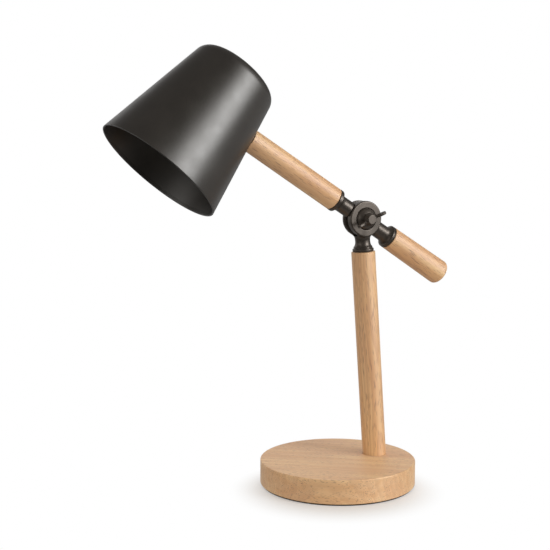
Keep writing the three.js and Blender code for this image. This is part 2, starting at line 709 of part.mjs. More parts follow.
// A cut along the arm's axis through the shade's wall or the bracket
function entryCut(radius) {
  const cut = cylinder(radius, -nippleEndReach, nippleEndReach, smallSides);
  const entry = onArmAxis(0);
  return solid(cut.rotateY(-QUARTER - shadeEntryAngle).translate(entry.x, entry.y, entry.z));
}

// Bracket: a strip on the inside of the wall, bent over to carry the lampholder on the shade's axis
function bracketPiece() {
  const up = new THREE.Vector2(-Math.sin(wallAngle), Math.cos(wallAngle));
  const inward = new THREE.Vector2(-Math.cos(wallAngle), -Math.sin(wallAngle));
  const entry = new THREE.Vector2(entryRadius, shadeEntryHeight);
  const back = entry.clone().addScaledVector(inward, shadeWall + bracketWallGap);
  const front = back.clone().addScaledVector(inward, bracketThickness);
  const alongTo = (start, height) => start.clone().addScaledVector(up, (height - start.y) / up.y);
  const backFoot = back.clone().addScaledVector(up, -bracketFootLength);
  const frontFoot = front.clone().addScaledVector(up, -bracketFootLength);
  const backCorner = alongTo(back, bracketTop);
  const frontCorner = alongTo(front, bracketTop - bracketThickness);
  const backBend = backCorner.clone().addScaledVector(up, -bracketBend);
  const frontBend = frontCorner.clone().addScaledVector(up, bracketThickness - bracketBend);
  const outline = new THREE.Shape()
    .moveTo(backFoot.x, backFoot.y)
    .lineTo(backBend.x, backBend.y)
    .quadraticCurveTo(backCorner.x, backCorner.y, backCorner.x - bracketBend, bracketTop)
    .lineTo(-bracketTongue, bracketTop)
    .lineTo(-bracketTongue, bracketTop - bracketThickness)
    .lineTo(frontCorner.x - bracketBend + bracketThickness, bracketTop - bracketThickness)
    .quadraticCurveTo(frontCorner.x, frontCorner.y, frontBend.x, frontBend.y)
    .lineTo(frontFoot.x, frontFoot.y);
  const strip = new THREE.ExtrudeGeometry(outline, {
    depth: bracketWidth, bevelEnabled: false, curveSegments: 2 * arcSteps,
  });
  const tongueLow = bracketTop - bracketThickness;
  const holderHole = cylinder(tubeHoleRadius, tongueLow - overrun, bracketTop + overrun, smallSides);
  return solid(strip.rotateX(QUARTER).translate(0, bracketWidth / 2, 0))
    .subtract(entryCut(tubeHoleRadius))
    .subtract(solid(holderHole));
}

function holderPieces() {
  const innerRadius = holderRadius - holderWall;
  const cap = new THREE.Path()
    .moveTo(tubeHoleRadius, holderTop)
    .lineTo(holderRadius - holderShoulder, holderTop)
    .quadraticCurveTo(holderRadius, holderTop, holderRadius, holderTop - holderShoulder)
    .lineTo(holderRadius, holderJoint)
    .lineTo(innerRadius, holderJoint)
    .lineTo(innerRadius, holderTop - holderFloor)
    .lineTo(tubeHoleRadius, holderTop - holderFloor);
  const entryHoleRadius = leadRadius + flexEntryRoom;
  const entryHole = cylinder(entryHoleRadius, innerRadius - overrun, holderRadius + overrun, smallSides);
  const flexEntry = sideways(entryHole).translate(0, 0, holderTop - flexEntryDrop);
  const shellTop = holderJoint - seatGap;
  const shell = new THREE.Path()
    .moveTo(innerRadius, shellTop)
    .lineTo(holderRadius, shellTop)
    .lineTo(holderRadius, holderMouth + holderWall)
    .lineTo(holderRadius - holderWall, holderMouth)
    .lineTo(holderMouthRadius, holderMouth)
    .lineTo(holderMouthRadius, holderMouth + holderWall)
    .lineTo(innerRadius, holderMouth + holderWall);
  const insertRadius = innerRadius - holderInsertGap;
  const insertLow = holderMouth + holderWall + seatGap;
  const insert = new THREE.Path()
    .moveTo(socketRadius, insertLow)
    .lineTo(insertRadius, insertLow)
    .lineTo(insertRadius, holderTop - holderFloor - holderTubeDepth / 2)
    .lineTo(0, holderTop - holderFloor - holderTubeDepth / 2)
    .lineTo(0, insertLow + socketDepth)
    .lineTo(socketRadius, insertLow + socketDepth);
  const nutLow = bracketTop + seatGap;
  const nutHigh = nutLow + holderNutHeight;
  const nippleHigh = nutHigh + seatGap;
  const nippleLow = holderTop - holderFloor - seatGap;
  return [
    piece('holder_nipple', solid(tube(tubeRadius, tubeBoreRadius, nippleLow, nippleHigh, smallSides)), zinc),
    piece('holder_nut', hexagon(tubeNutAcross, nutLow, nutHigh, tubeHoleRadius), zinc),
    piece('holder_cap', solid(revolveRing(cap, rodSides)).subtract(solid(flexEntry)), blackMoulding),
    piece('holder_insert', solid(revolveRing(insert, smallSides)), ceramic),
    piece('holder_shell', solid(revolveRing(shell, rodSides)), blackMoulding),
    piece('holder_lead', holderLead(innerRadius), flexSheath),
  ];
}

// The lead's last stretch, from the arm's nipple in a soft bend to the side of the holder
function holderLead(innerRadius) {
  const start = onArmAxis(nippleEndReach + seatGap);
  const startPull = onArmAxis(nippleEndReach + holderRadius);
  const end = new THREE.Vector3(innerRadius + seatGap, 0, holderTop - flexEntryDrop);
  const endPull = new THREE.Vector3(end.x + holderRadius, 0, end.z);
  const route = new THREE.CubicBezierCurve3(start, startPull, endPull, end);
  const section = new THREE.Shape().absarc(0, 0, leadRadius, 0, TURN);
  return solid(new THREE.ExtrudeGeometry(section, {
    steps: 3 * arcSteps, curveSegments: 2 * arcSteps, extrudePath: route,
  }));
}

// Bulb: a hollow screw cap with its contact pip, and a thin ball of opal glass open at the neck
function bulbPieces() {
  const capLow = holderMouth + holderWall + seatGap;
  const capHigh = capLow + bulbCapLength;
  const capInside = bulbCapRadius - bulbCapWall;
  const cap = new THREE.Path()
    .moveTo(capInside, capLow)
    .lineTo(bulbCapRadius, capLow)
    .lineTo(bulbCapRadius, capHigh - bulbPipRadius)
    .lineTo(bulbPipRadius, capHigh)
    .lineTo(bulbPipRadius - bulbPipHeight, capHigh + bulbPipHeight)
    .lineTo(0, capHigh + bulbPipHeight)
    .lineTo(0, capHigh - bulbCapWall)
    .lineTo(bulbPipRadius - bulbCapWall, capHigh - bulbCapWall)
    .lineTo(capInside, capHigh - bulbPipRadius);
  const ballHeight = holderMouth - bulbCentreDrop;
  const neckTop = capLow - seatGap;
  const neckLow = neckTop - bulbNeckRadius / 2;
  const ballInside = bulbRadius - bulbGlassWall;
  const neckInside = bulbNeckRadius - bulbGlassWall;
  const leaveX = ballInside * Math.cos(bulbLeaveAngle);
  const leaveZ = ballHeight + ballInside * Math.sin(bulbLeaveAngle);
  const glass = new THREE.Path()
    .absarc(0, ballHeight, bulbRadius, -QUARTER, bulbLeaveAngle, false)
    .quadraticCurveTo(bulbNeckRadius, ballHeight + bulbRadius, bulbNeckRadius, neckLow)
    .lineTo(bulbNeckRadius, neckTop)
    .lineTo(neckInside, neckTop)
    .lineTo(neckInside, neckLow)
    .quadraticCurveTo(neckInside, ballHeight + bulbRadius, leaveX, leaveZ)
    .absarc(0, ballHeight, ballInside, bulbLeaveAngle, -QUARTER, true);
  return [
    piece('bulb_cap', solid(revolveRing(cap, smallSides)), zinc),
    piece('bulb_glass', solid(revolveRing(glass, smallSides)), opalGlass),
  ];
}

// Assembly: the post leans in the foot, the knuckle sits on the post, and the arm turns in it
const post = new THREE.Group();
post.position.set(postFootX, 0, baseTop);
post.rotation.y = -postLean;
post.updateMatrix();
post.add(...postPieces());

const knuckle = new THREE.Group();
knuckle.position.z = pivotHeightOnPost;
post.add(knuckle);
knuckle.add(
  piece('post_fork', forkPiece(), bronze),
  piece('pivot_bolt', pivotBolt(), bronze),
  piece('front_shim', shim(1), nylon),
  piece('rear_shim', shim(-1), nylon),
  piece('domed_washer', domedWasher(), bronze),
);

const wings = piece('wing_nut', wingNut(), bronze);
wings.rotation.y = postLean - wingTilt;
knuckle.add(wings);

const arm = new THREE.Group();
arm.rotation.y = postLean - (QUARTER - armRise);
arm.add(...armPieces());
knuckle.add(arm);

const shade = new THREE.Group();
shade.rotation.y = QUARTER + shadeEntryAngle;
const entryOffset = onArmAxis(0).applyAxisAngle(new THREE.Vector3(0, 1, 0), shade.rotation.y);
shade.position.set(0, 0, armReach).sub(entryOffset);
shade.add(
  piece('shade_shell', shadeShell().subtract(entryCut(shadeHoleRadius)), shadePaint),
  piece('holder_bracket', bracketPiece(), zinc),
  ...holderPieces(),
  ...bulbPieces(),
);
arm.add(shade);

const lamp = new THREE.Group();
lamp.add(...basePieces(post.matrix));
lamp.add(post);
lamp.updateMatrixWorld(true);

export default lamp;
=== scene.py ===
"""Table lamp in light wood and dark metal: fine meshes, materials, light and camera.

Sizes are in millimetres and named as on the real lamp. Each piece is drawn in the frame of what
carries it, worked out from the joints, and its mesh is scaled to metres when it is made.
"""

import json
import math

import bpy
import numpy as np
import openvdb
from mathutils import Matrix, Vector


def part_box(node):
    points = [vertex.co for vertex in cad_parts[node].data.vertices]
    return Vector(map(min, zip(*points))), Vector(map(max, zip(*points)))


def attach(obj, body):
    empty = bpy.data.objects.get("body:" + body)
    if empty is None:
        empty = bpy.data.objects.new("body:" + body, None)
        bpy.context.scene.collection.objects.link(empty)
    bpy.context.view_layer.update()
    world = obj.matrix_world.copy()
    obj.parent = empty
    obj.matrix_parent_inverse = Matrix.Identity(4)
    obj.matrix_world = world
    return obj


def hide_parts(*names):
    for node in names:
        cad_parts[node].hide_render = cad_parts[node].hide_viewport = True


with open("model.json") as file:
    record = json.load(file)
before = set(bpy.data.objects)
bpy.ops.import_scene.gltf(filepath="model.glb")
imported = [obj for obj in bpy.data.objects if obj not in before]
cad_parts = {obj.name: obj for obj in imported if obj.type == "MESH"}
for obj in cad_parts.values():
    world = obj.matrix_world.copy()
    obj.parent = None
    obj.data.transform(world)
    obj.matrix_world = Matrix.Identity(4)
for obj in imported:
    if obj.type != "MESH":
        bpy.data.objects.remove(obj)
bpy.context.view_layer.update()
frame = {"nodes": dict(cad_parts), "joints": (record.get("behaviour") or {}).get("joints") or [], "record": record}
scene = bpy.context.scene

MM = 0.001
QUARTER = math.pi / 2

# Fineness
TURNED_SIDES = 96
WIDE_SIDES = 192
SMALL_SIDES = 40
FILLET_STEPS = 5
SUPPORT = 0.25          # distance of the line that keeps a flat flat beside a fillet
VOXEL = (0.34, 0.34, 0.2)
WING_VOXEL = 0.26
FIELD_STEP = 0.12
FIELD_MARGIN = 6
SETTLE_STEPS = 4
SHARP_ANGLE = math.radians(38)
CAST_SHARP_ANGLE = math.radians(60)

# Clearances
SEAT_GAP = 0.3
OVERRUN = 2

# Foot
PAD_ROUND = 0.3
BASE_TOP_ROUND = 1.1
BASE_BOTTOM_ROUND = 0.7
RECESS_RADIUS = 62
RECESS_DEPTH = 8
SCREW_HOLE_RADIUS = 4.3
SCREW_HOLE_DEPTH = 17
SCREW_CIRCLE = 46
INLET_HEIGHT = 6.9
INLET_BARREL_RADIUS = 4
INLET_BORE_RADIUS = 3.2
INLET_FLANGE_RADIUS = 5.1
INLET_FLANGE_THICKNESS = 1.5

# Post
POST_RADIUS = 12.3
POST_LEAN = math.radians(4.2)
PIVOT_HEIGHT = 248.7
POST_SOCKET_DEPTH = 9
POST_TOP_ROUND = 0.9
POST_BOTTOM_CHAMFER = 0.6
LEAD_BORE = 3.4
TUBE_RADIUS = 4.9
TUBE_BORE = 3
TUBE_HOLE = 5.2
TUBE_SEAT = 20
THREAD_PITCH = 1.0
THREAD_DEPTH = 0.28
SPOT_FACE_RADIUS = 10.4
SPOT_FACE_DEPTH = 1.2

# Fork
CHEEK_RADIUS = 18.2
CHEEK_ROUND = 1.3
FRONT_FACE = 9.9
REAR_FACE = 7.5
HALF_SLOT = 3.5
SLOT_RADIUS = 19
COLLAR_DROP = 34
COLLAR_RADIUS = 10.9
FORK_NECK_RADIUS = 7.7
FORK_WAIST_DROP = 23
FORK_BLEND = 4.2
FORK_STUD_DEPTH = 8
FORK_RING_HEIGHT = 3.2
FORK_GROOVE_HEIGHT = 0.6
FORK_GROOVE_DEPTH = 1.3
NECK_ROOM = 0.6
DOME_RECESS_RADIUS = 11.4
DOME_RECESS_DEPTH = 1.5
EDGE_BLEND = 0.45

# Eye
EYE_RADIUS = 17.6
EYE_HALF = 2.5
EYE_NECK_RADIUS = 8.2
EYE_BLEND = 1.6
NECK_SCOOP = 18.7
UPPER_REACH = 38.7
TAIL_REACH = 39.2
UPPER_LIP_HEIGHT = 4.2
TAIL_LIP_HEIGHT = 3.8
TAIL_BEAD_HEIGHT = 2.3
GROOVE_STEP = 0.3
LIP_OVERLAP = 0.1
UPPER_STUD_DEPTH = 11.4
TAIL_STUD_ROOM = 7.6
CHANNEL_DEPTH = 4.1
CHANNEL_WALL = 0.7
CHANNEL_SWEEP = math.radians(150)
NECK_LEAD_BORE = 2.4
SHIM_RADIUS = 15
SHIM_THICKNESS = 0.4

# Bolt, washer and wing nut
BOLT_RADIUS = 3
BOLT_HOLE = 3.3
BOLT_HEAD_RADIUS = 9
BOLT_HEAD_HEIGHT = 3.8
BOLT_SQUARE = 6.6
BOLT_TIP = 20
DOME_RADIUS = 10.9
DOME_EDGE = 1.6
DOME_HEIGHT = 6.6
DOME_CROWN = 4.6
HUB_BASE_RADIUS = 6.6
HUB_TIP_RADIUS = 4.6
HUB_END = 21.5
WING_SPAN = 17.6
WING_TIP_ROUND = 2.4
WING_REACH = 23
WING_THICKNESS = 2.9
WING_TILT = math.radians(23.7)
WING_ROOT_RISE = 0.9
WING_BLEND = 1.3

# Arm
ARM_REACH = 151
UPPER_ROD_RADIUS = 11.8
UPPER_ROD_TIP = 11.5
TAIL_ROD_RADIUS = 12.05
TAIL_ROD_TIP = 13.15
TAIL_END = 115.6
TAIL_END_ROUND = 4
ROD_EDGE_ROUND = 0.7
TAIL_STUD_RADIUS = 4
TAIL_STUD_DEPTH = 19.1

# Shade
RIM_RADIUS = 65
TOP_RADIUS = 42.5
SHADE_HEIGHT = 125.9
SHADE_WALL = 0.9
SHADE_TOP_ROUND = 12.45
HEM_HEIGHT = 2.6
HEM_THICKNESS = 1.5
HEM_ROUND = 0.45
ENTRY_HEIGHT = 84.8
ENTRY_ANGLE = math.radians(9.6)
NIPPLE_HOLE = 5.4
NIPPLE_END = 12

# Lampholder, bracket and bulb
NUT_ACROSS = 14
NUT_CHAMFER = 0.6
WASHER_RADIUS = 9
WASHER_THICKNESS = 1
NIPPLE_NUT_HEIGHT = 4
BRACKET_WIDTH = 14
BRACKET_THICKNESS = 2
BRACKET_WALL_GAP = 0.85
BRACKET_FOOT = 10
BRACKET_TONGUE = 9
BRACKET_BEND = 9
HOLDER_TOP_ROOM = 1.4
HOLDER_NUT_HEIGHT = 3.5
HOLDER_RADIUS = 14
HOLDER_WALL = 1.8
HOLDER_SHOULDER = 4
HOLDER_CAP_HEIGHT = 18
HOLDER_LENGTH = 41.5
HOLDER_FLOOR = 3.5
HOLDER_TUBE_DEPTH = 5
HOLDER_MOUTH_RADIUS = 8.2
HOLDER_GRIPS = 5
HOLDER_GRIP_PITCH = 2.4
INSERT_GAP = 0.6
SOCKET_RADIUS = 7.4
INSERT_SOCKET_DEPTH = 26
LEAD_RADIUS = 1.7
LEAD_ENTRY_DROP = 10.5
LEAD_ENTRY_ROOM = 0.6
BULB_CAP_RADIUS = 6.9
BULB_CAP_LENGTH = 24
BULB_CAP_WALL = 0.8
BULB_THREADS = 6
BULB_PITCH = 2.6
BULB_PIP_RADIUS = 3
BULB_PIP_HEIGHT = 1.4
BULB_NECK_RADIUS = 7.3
BULB_RADIUS = 22.5
BULB_GLASS_WALL = 1
BULB_CENTRE_DROP = 32.5
BULB_LEAVE_ANGLE = math.radians(52)

# Camera, fitted to the photograph
CAMERA_PLACE = (-0.58997, -1.01813, 0.35528)
CAMERA_DROP = 0.1172
CAMERA_TURN = -0.4701
CAMERA_LENS = 76.08
CAMERA_SENSOR = 36


# Sizes worked out from the ones above and from the frame

pad_low, pad_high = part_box("base_pad")
disc_low, disc_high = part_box("base_disc")
BASE_RADIUS = ((disc_high - disc_low) / MM).x / 2
PAD_RADIUS = ((pad_high - pad_low) / MM).x / 2
PAD_TOP = pad_high.z / MM
WOOD_BOTTOM = disc_low.z / MM
BASE_TOP = disc_high.z / MM
RECESS_CEILING = WOOD_BOTTOM + RECESS_DEPTH
DOME_BASE = FRONT_FACE - DOME_RECESS_DEPTH + SEAT_GAP
DOME_TOP = DOME_BASE + DOME_HEIGHT
HUB_BASE = DOME_TOP + SEAT_GAP
WALL_ANGLE = math.atan2(RIM_RADIUS - TOP_RADIUS, SHADE_HEIGHT)
ENTRY_RADIUS = RIM_RADIUS - ENTRY_HEIGHT * math.tan(WALL_ANGLE)
UPPER_ROD_END = ARM_REACH - SEAT_GAP - UPPER_ROD_TIP * math.tan(abs(WALL_ANGLE - ENTRY_ANGLE))
BRACKET_INNER = SHADE_WALL + BRACKET_WALL_GAP + BRACKET_THICKNESS
BRACKET_TOP = SHADE_HEIGHT - SHADE_WALL - HOLDER_TOP_ROOM - HOLDER_NUT_HEIGHT - SEAT_GAP
HOLDER_TOP = BRACKET_TOP - BRACKET_THICKNESS - SEAT_GAP
HOLDER_MOUTH = HOLDER_TOP - HOLDER_LENGTH
HOLDER_JOINT = HOLDER_TOP - HOLDER_CAP_HEIGHT


# Frames of the post, knuckle, arm and shade, from the joints

def joint(name):
    return next(j for j in frame["joints"] if j["name"] == name)


def turned(angle):
    return Matrix.Rotation(angle, 4, "Y")


def rolled(angle):
    return Matrix.Rotation(angle, 4, "X")


def moved(x=0, y=0, z=0):
    return Matrix.Translation(Vector((x, y, z)) * MM)


pivot = Matrix.Translation(Vector(joint("arm_tilt")["pos_m"]))
arm_line = Vector(joint("shade_swivel")["axis"]).normalized()
arm_turn = math.atan2(arm_line.x, arm_line.z)
KNUCKLE = pivot @ turned(-POST_LEAN)
POST = KNUCKLE @ moved(z=-PIVOT_HEIGHT)
WINGS = pivot @ turned(-WING_TILT)
ARM = pivot @ turned(arm_turn)
TAIL = ARM @ rolled(math.pi)
SHADE = ARM @ moved(z=ARM_REACH) @ turned(QUARTER + ENTRY_ANGLE) @ moved(-ENTRY_RADIUS, 0, -ENTRY_HEIGHT)
FOOT = Matrix.Identity(4)
INLET = moved(z=INLET_HEIGHT) @ turned(QUARTER)


# Outlines

def rounded(corners, steps=FILLET_STEPS):
    """A closed outline through (x, y) or (x, y, fillet) corners, with a line beside each fillet."""
    points = []
    count = len(corners)
    for i, corner in enumerate(corners):
        here = Vector(corner[:2])
        if len(corner) < 3:
            points.append(tuple(here))
            continue
        back = Vector(corners[i - 1][:2]) - here
        ahead = Vector(corners[(i + 1) % count][:2]) - here
        half = back.angle(ahead) / 2
        reach = min(corner[2] / math.tan(half), back.length / 2, ahead.length / 2)
        radius = reach * math.tan(half)
        back_way = back.normalized()
        ahead_way = ahead.normalized()
        centre = here + (back_way + ahead_way).normalized() * radius / math.sin(half)
        start = here + back_way * reach - centre
        end = here + ahead_way * reach - centre
        sweep = math.atan2(start.x * end.y - start.y * end.x, start.dot(end))
        first = math.atan2(start.y, start.x)
        if back.length - reach > 2 * SUPPORT:
            points.append(tuple(here + back_way * (reach + SUPPORT)))
        for k in range(steps + 1):
            angle = first + sweep * k / steps
            points.append((centre.x + radius * math.cos(angle), centre.y + radius * math.sin(angle)))
        if ahead.length - reach > 2 * SUPPORT:
            points.append(tuple(here + ahead_way * (reach + SUPPORT)))
    return points


def bend(start, pull, end, steps=2 * FILLET_STEPS):
    """The inner points of a quadratic curve."""
    a, b, c = Vector(start), Vector(pull), Vector(end)
    shares = [k / steps for k in range(1, steps)]
    return [tuple(a * (1 - t) ** 2 + b * 2 * t * (1 - t) + c * t ** 2) for t in shares]


def arc(centre, radius, first, last, steps=4 * FILLET_STEPS):
    turns = [first + (last - first) * k / steps for k in range(steps + 1)]
    return [(centre[0] + radius * math.cos(a), centre[1] + radius * math.sin(a)) for a in turns]


# Meshes

def smooth(mesh, sharp=SHARP_ANGLE):
    mesh.polygons.foreach_set("use_smooth", [True] * len(mesh.polygons))
    mesh.set_sharp_from_angle(angle=sharp)
    mesh.update()
    return mesh


def mesh_of(points, faces):
    """A closed mesh from points in millimetres, with its faces turned outward."""
    volume = 0.0
    for face in faces:
        a = Vector(points[face[0]])
        for k in range(1, len(face) - 1):
            volume += a.dot(Vector(points[face[k]]).cross(Vector(points[face[k + 1]])))
    if volume < 0:
        faces = [tuple(reversed(face)) for face in faces]
    mesh = bpy.data.meshes.new("shape")
    mesh.from_pydata([(x * MM, y * MM, z * MM) for x, y, z in points], [], faces)
    return smooth(mesh)


def turned_mesh(outline, sides=TURNED_SIDES):
    """A closed (radius, height) outline turned about Z."""
    points, rings = [], []
    for radius, height in outline:
        on_axis = radius < 1e-6
        ring = []
        for k in range(1 if on_axis else sides):
            angle = 2 * math.pi * k / sides
            ring.append(len(points))
            points.append((radius * math.cos(angle), radius * math.sin(angle), height))
        rings.append(ring)
    faces = []
    for i, low in enumerate(rings):
        high = rings[(i + 1) % len(rings)]
        for k in range(sides):
            n = (k + 1) % sides
            if len(low) > 1 and len(high) > 1:
                faces.append((low[k], low[n], high[n], high[k]))
            elif len(low) > 1:
                faces.append((low[k], low[n], high[0]))
            elif len(high) > 1:
                faces.append((low[0], high[n], high[k]))
    return mesh_of(points, faces)


def prism_mesh(outline, low, high):
    """A closed (x, y) outline raised along Z."""
    count = len(outline)
    points = [(x, y, low) for x, y in outline] + [(x, y, high) for x, y in outline]
    sides = [(i, (i + 1) % count, count + (i + 1) % count, count + i) for i in range(count)]
    caps = [tuple(reversed(range(count))), tuple(range(count, 2 * count))]
    return mesh_of(points, sides + caps)


def drill(place, radius, low, high, sides=SMALL_SIDES):
    """A round cutter and its place."""
    return turned_mesh([(0, low), (radius, low), (radius, high), (0, high)], sides), place


def linked(name, data):
    thing = bpy.data.objects.new(name, data)
    scene.collection.objects.link(thing)
    return thing


def shaped(mesh, kind=None, **settings):
    """The mesh after one modifier, or a curve as a mesh."""
    holder = linked("shaping", mesh)
    if kind:
        modifier = holder.modifiers.new("step", kind)
        for key, value in settings.items():
            setattr(modifier, key, value)
    made = bpy.data.meshes.new_from_object(holder.evaluated_get(bpy.context.evaluated_depsgraph_get()))
    bpy.data.objects.remove(holder)
    return made


def cut(mesh, cutters, operation="DIFFERENCE"):
    """The mesh after each (mesh, place) cutter is taken from it, or joined to it."""
    for cutter_mesh, place in cutters:
        cutter = linked("cutter", cutter_mesh)
        cutter.matrix_world = place
        bpy.context.view_layer.update()
        mesh = shaped(mesh, "BOOLEAN", operation=operation, object=cutter, solver="EXACT")
        bpy.data.objects.remove(cutter)
    return smooth(mesh)


# Solids as signed distances in millimetres, negative inside

def combine(across, along, corner):
    outside = np.hypot(np.maximum(across + corner, 0), np.maximum(along + corner, 0))
    return outside + np.minimum(np.maximum(across, along) + corner, 0) - corner


def disc_field(radial, axial, radius, low, high, corner=0.0):
    middle, half = (low + high) / 2, (high - low) / 2
    return combine(radial - radius, np.abs(axial - middle) - half, corner)


def soft_union(a, b, blend):
    share = np.clip(0.5 + 0.5 * (b - a) / blend, 0, 1)
    return b + (a - b) * share - blend * share * (1 - share)


def soft_cut(a, b, blend=EDGE_BLEND):
    return -soft_union(-a, b, blend)


def outline_field(outline):
    """A function of (radius, height): the signed distance to a closed outline. The stretch on the axis
    doesn't count as an edge, so the turned solid is filled there."""
    step = FIELD_STEP
    line = np.array(outline, float)
    low = np.array([0, line[:, 1].min() - FIELD_MARGIN])
    high = line.max(axis=0) + FIELD_MARGIN
    counts = np.ceil((high - low) / step).astype(int) + 1
    r, z = np.meshgrid(*(low[k] + step * np.arange(counts[k]) for k in range(2)), indexing="ij")
    nearest = np.full(r.shape, np.inf)
    inside = np.zeros(r.shape, bool)
    for (x0, y0), (x1, y1) in zip(line, np.roll(line, -1, axis=0)):
        span = (x1 - x0) ** 2 + (y1 - y0) ** 2
        if span < 1e-12:
            continue
        if max(x0, x1) > 1e-6:
            t = np.clip(((r - x0) * (x1 - x0) + (z - y0) * (y1 - y0)) / span, 0, 1)
            nearest = np.minimum(nearest, np.hypot(r - x0 - t * (x1 - x0), z - y0 - t * (y1 - y0)))
        if y0 != y1:
            crossing = x0 + (z - y0) * (x1 - x0) / (y1 - y0)
            inside ^= ((y0 > z) != (y1 > z)) & (r < crossing)
    table = np.where(inside, -nearest, nearest)

    def sample(radius, height):
        a = np.clip((radius - low[0]) / step, 0, counts[0] - 1.001)
        b = np.clip((height - low[1]) / step, 0, counts[1] - 1.001)
        i, j = a.astype(int), b.astype(int)
        fa, fb = a - i, b - j
        near = table[i, j] * (1 - fb) + table[i, j + 1] * fb
        far = table[i + 1, j] * (1 - fb) + table[i + 1, j + 1] * fb
        return near * (1 - fa) + far * fa

    return sample


def field_mesh(field, low, high, voxel=VOXEL):
    """The zero surface of field(x, y, z) inside a box, each point drawn onto the surface."""
    voxel = np.array(voxel, float)
    low = np.array(low, float) - 3 * voxel
    high = np.array(high, float) + 3 * voxel
    counts = np.ceil((high - low) / voxel).astype(int) + 1
    lines = [low[i] + voxel[i] * np.arange(counts[i]) for i in range(3)]
    values = field(*np.meshgrid(*lines, indexing="ij", sparse=True))
    band = 3 * voxel.max()
    grid = openvdb.FloatGrid(band)
    grid.copyFromArray(np.ascontiguousarray(np.clip(values, -band, band), dtype=np.float32))
    points, quads = grid.convertToQuads()
    points = points.astype(float) * voxel + low
    nudge = voxel.min() / 4
    for _ in range(SETTLE_STEPS):
        value = field(*points.T)
        slope = np.empty_like(points)
        for axis in range(3):
            ahead, back = points.copy(), points.copy()
            ahead[:, axis] += nudge
            back[:, axis] -= nudge
            slope[:, axis] = (field(*ahead.T) - field(*back.T)) / (2 * nudge)
        length = np.maximum((slope ** 2).sum(axis=1), 0.25)
        step = np.clip(value / length, -voxel.min() / 2, voxel.min() / 2)
        points -= slope * step[:, None]
    mesh = bpy.data.meshes.new("shape")
    mesh.from_pydata((points * MM).tolist(), [], quads.tolist())
    return smooth(mesh, CAST_SHARP_ANGLE)


# Node materials

WHITE = (1.0, 1.0, 1.0, 1.0)


class Shader:
    """The node tree of a material or a world, with short calls to add and join nodes."""

    def __init__(self, owner):
        owner.use_nodes = True
        self.tree = owner.node_tree

    def put(self, socket, value):
        if isinstance(value, bpy.types.NodeSocket):
            self.tree.links.new(value, socket)
        else:
            socket.default_value = value

    def fill(self, node, **inputs):
        for key, value in inputs.items():
            self.put(node.inputs[key.replace("_", " ")], value)

    def add(self, kind, **inputs):
        """The outputs of a new node, with the values in its named sockets."""
        made = self.tree.nodes.new("ShaderNode" + kind)
        self.fill(made, **inputs)
        return made.outputs

    def run(self, kind, *values, output=0, **settings):
        """One output of a new node with those settings, with the values in its first sockets."""
        made = self.tree.nodes.new("ShaderNode" + kind)
        for key, choice in settings.items():
            setattr(made, key, choice)
        for socket, value in zip(made.inputs, values):
            self.put(socket, value)
        return made.outputs[output]

    def math(self, operation, *values):
        return self.run("Math", *values, operation=operation)

    def plus(self, a, b):
        return self.math("ADD", a, b)

    def minus(self, a, b):
        return self.math("SUBTRACT", a, b)

    def times(self, a, b):
        return self.math("MULTIPLY", a, b)

    def most(self, a, b):
        return self.math("MAXIMUM", a, b)

    def vector_math(self, operation, *values):
        return self.run("VectorMath", *values, output="Value", operation=operation)

    def span(self, value, from_low, from_high, to_low=0.0, to_high=1.0):
        """The value's way from one end to the other, eased at both."""
        ends = (from_low, from_high, to_low, to_high)
        return self.run("MapRange", value, *ends, interpolation_type="SMOOTHSTEP")

    def mix(self, share, a, b):
        made = self.tree.nodes.new("ShaderNodeMix")
        made.data_type = "RGBA"
        self.fill(made, Factor=share, A=a, B=b)
        return made.outputs["Result"]

    def place(self, scale=(1, 1, 1), turn=(0, 0, 0), shift=(0, 0, 0), vector=None):
        if vector is None:
            vector = self.add("TexCoord")["Object"]
        return self.add("Mapping", Vector=vector, Location=shift, Rotation=turn, Scale=scale)[0]

    def noise(self, vector, scale, detail=2.0, roughness=0.5):
        return self.add("TexNoise", Vector=vector, Scale=scale, Detail=detail, Roughness=roughness)[0]

    def seen(self, path):
        """1 for what the camera, a reflection or a transmission sees, and 0 for scattered light."""
        direct = self.most(path["Is Camera Ray"], path["Is Glossy Ray"])
        return self.most(direct, path["Is Transmission Ray"])

    def bump(self, height, distance, strength):
        self.finish(Normal=self.add("Bump", Height=height, Distance=distance, Strength=strength)[0])

    def finish(self, **inputs):
        self.fill(self.tree.nodes["Principled BSDF"], **inputs)


def new_material(name):
    materials[name] = bpy.data.materials.new(name)
    return Shader(materials[name])


def rgb(red, green, blue):
    """A colour written as it looks on screen, from 0 to 255."""
    shares = [c / 255 for c in (red, green, blue)]
    return tuple(s / 12.92 if s <= 0.04045 else ((s + 0.055) / 1.055) ** 2.4 for s in shares) + (1.0,)


def toned(colour, share):
    return tuple(min(c * share, 1.0) for c in colour[:3]) + (1.0,)


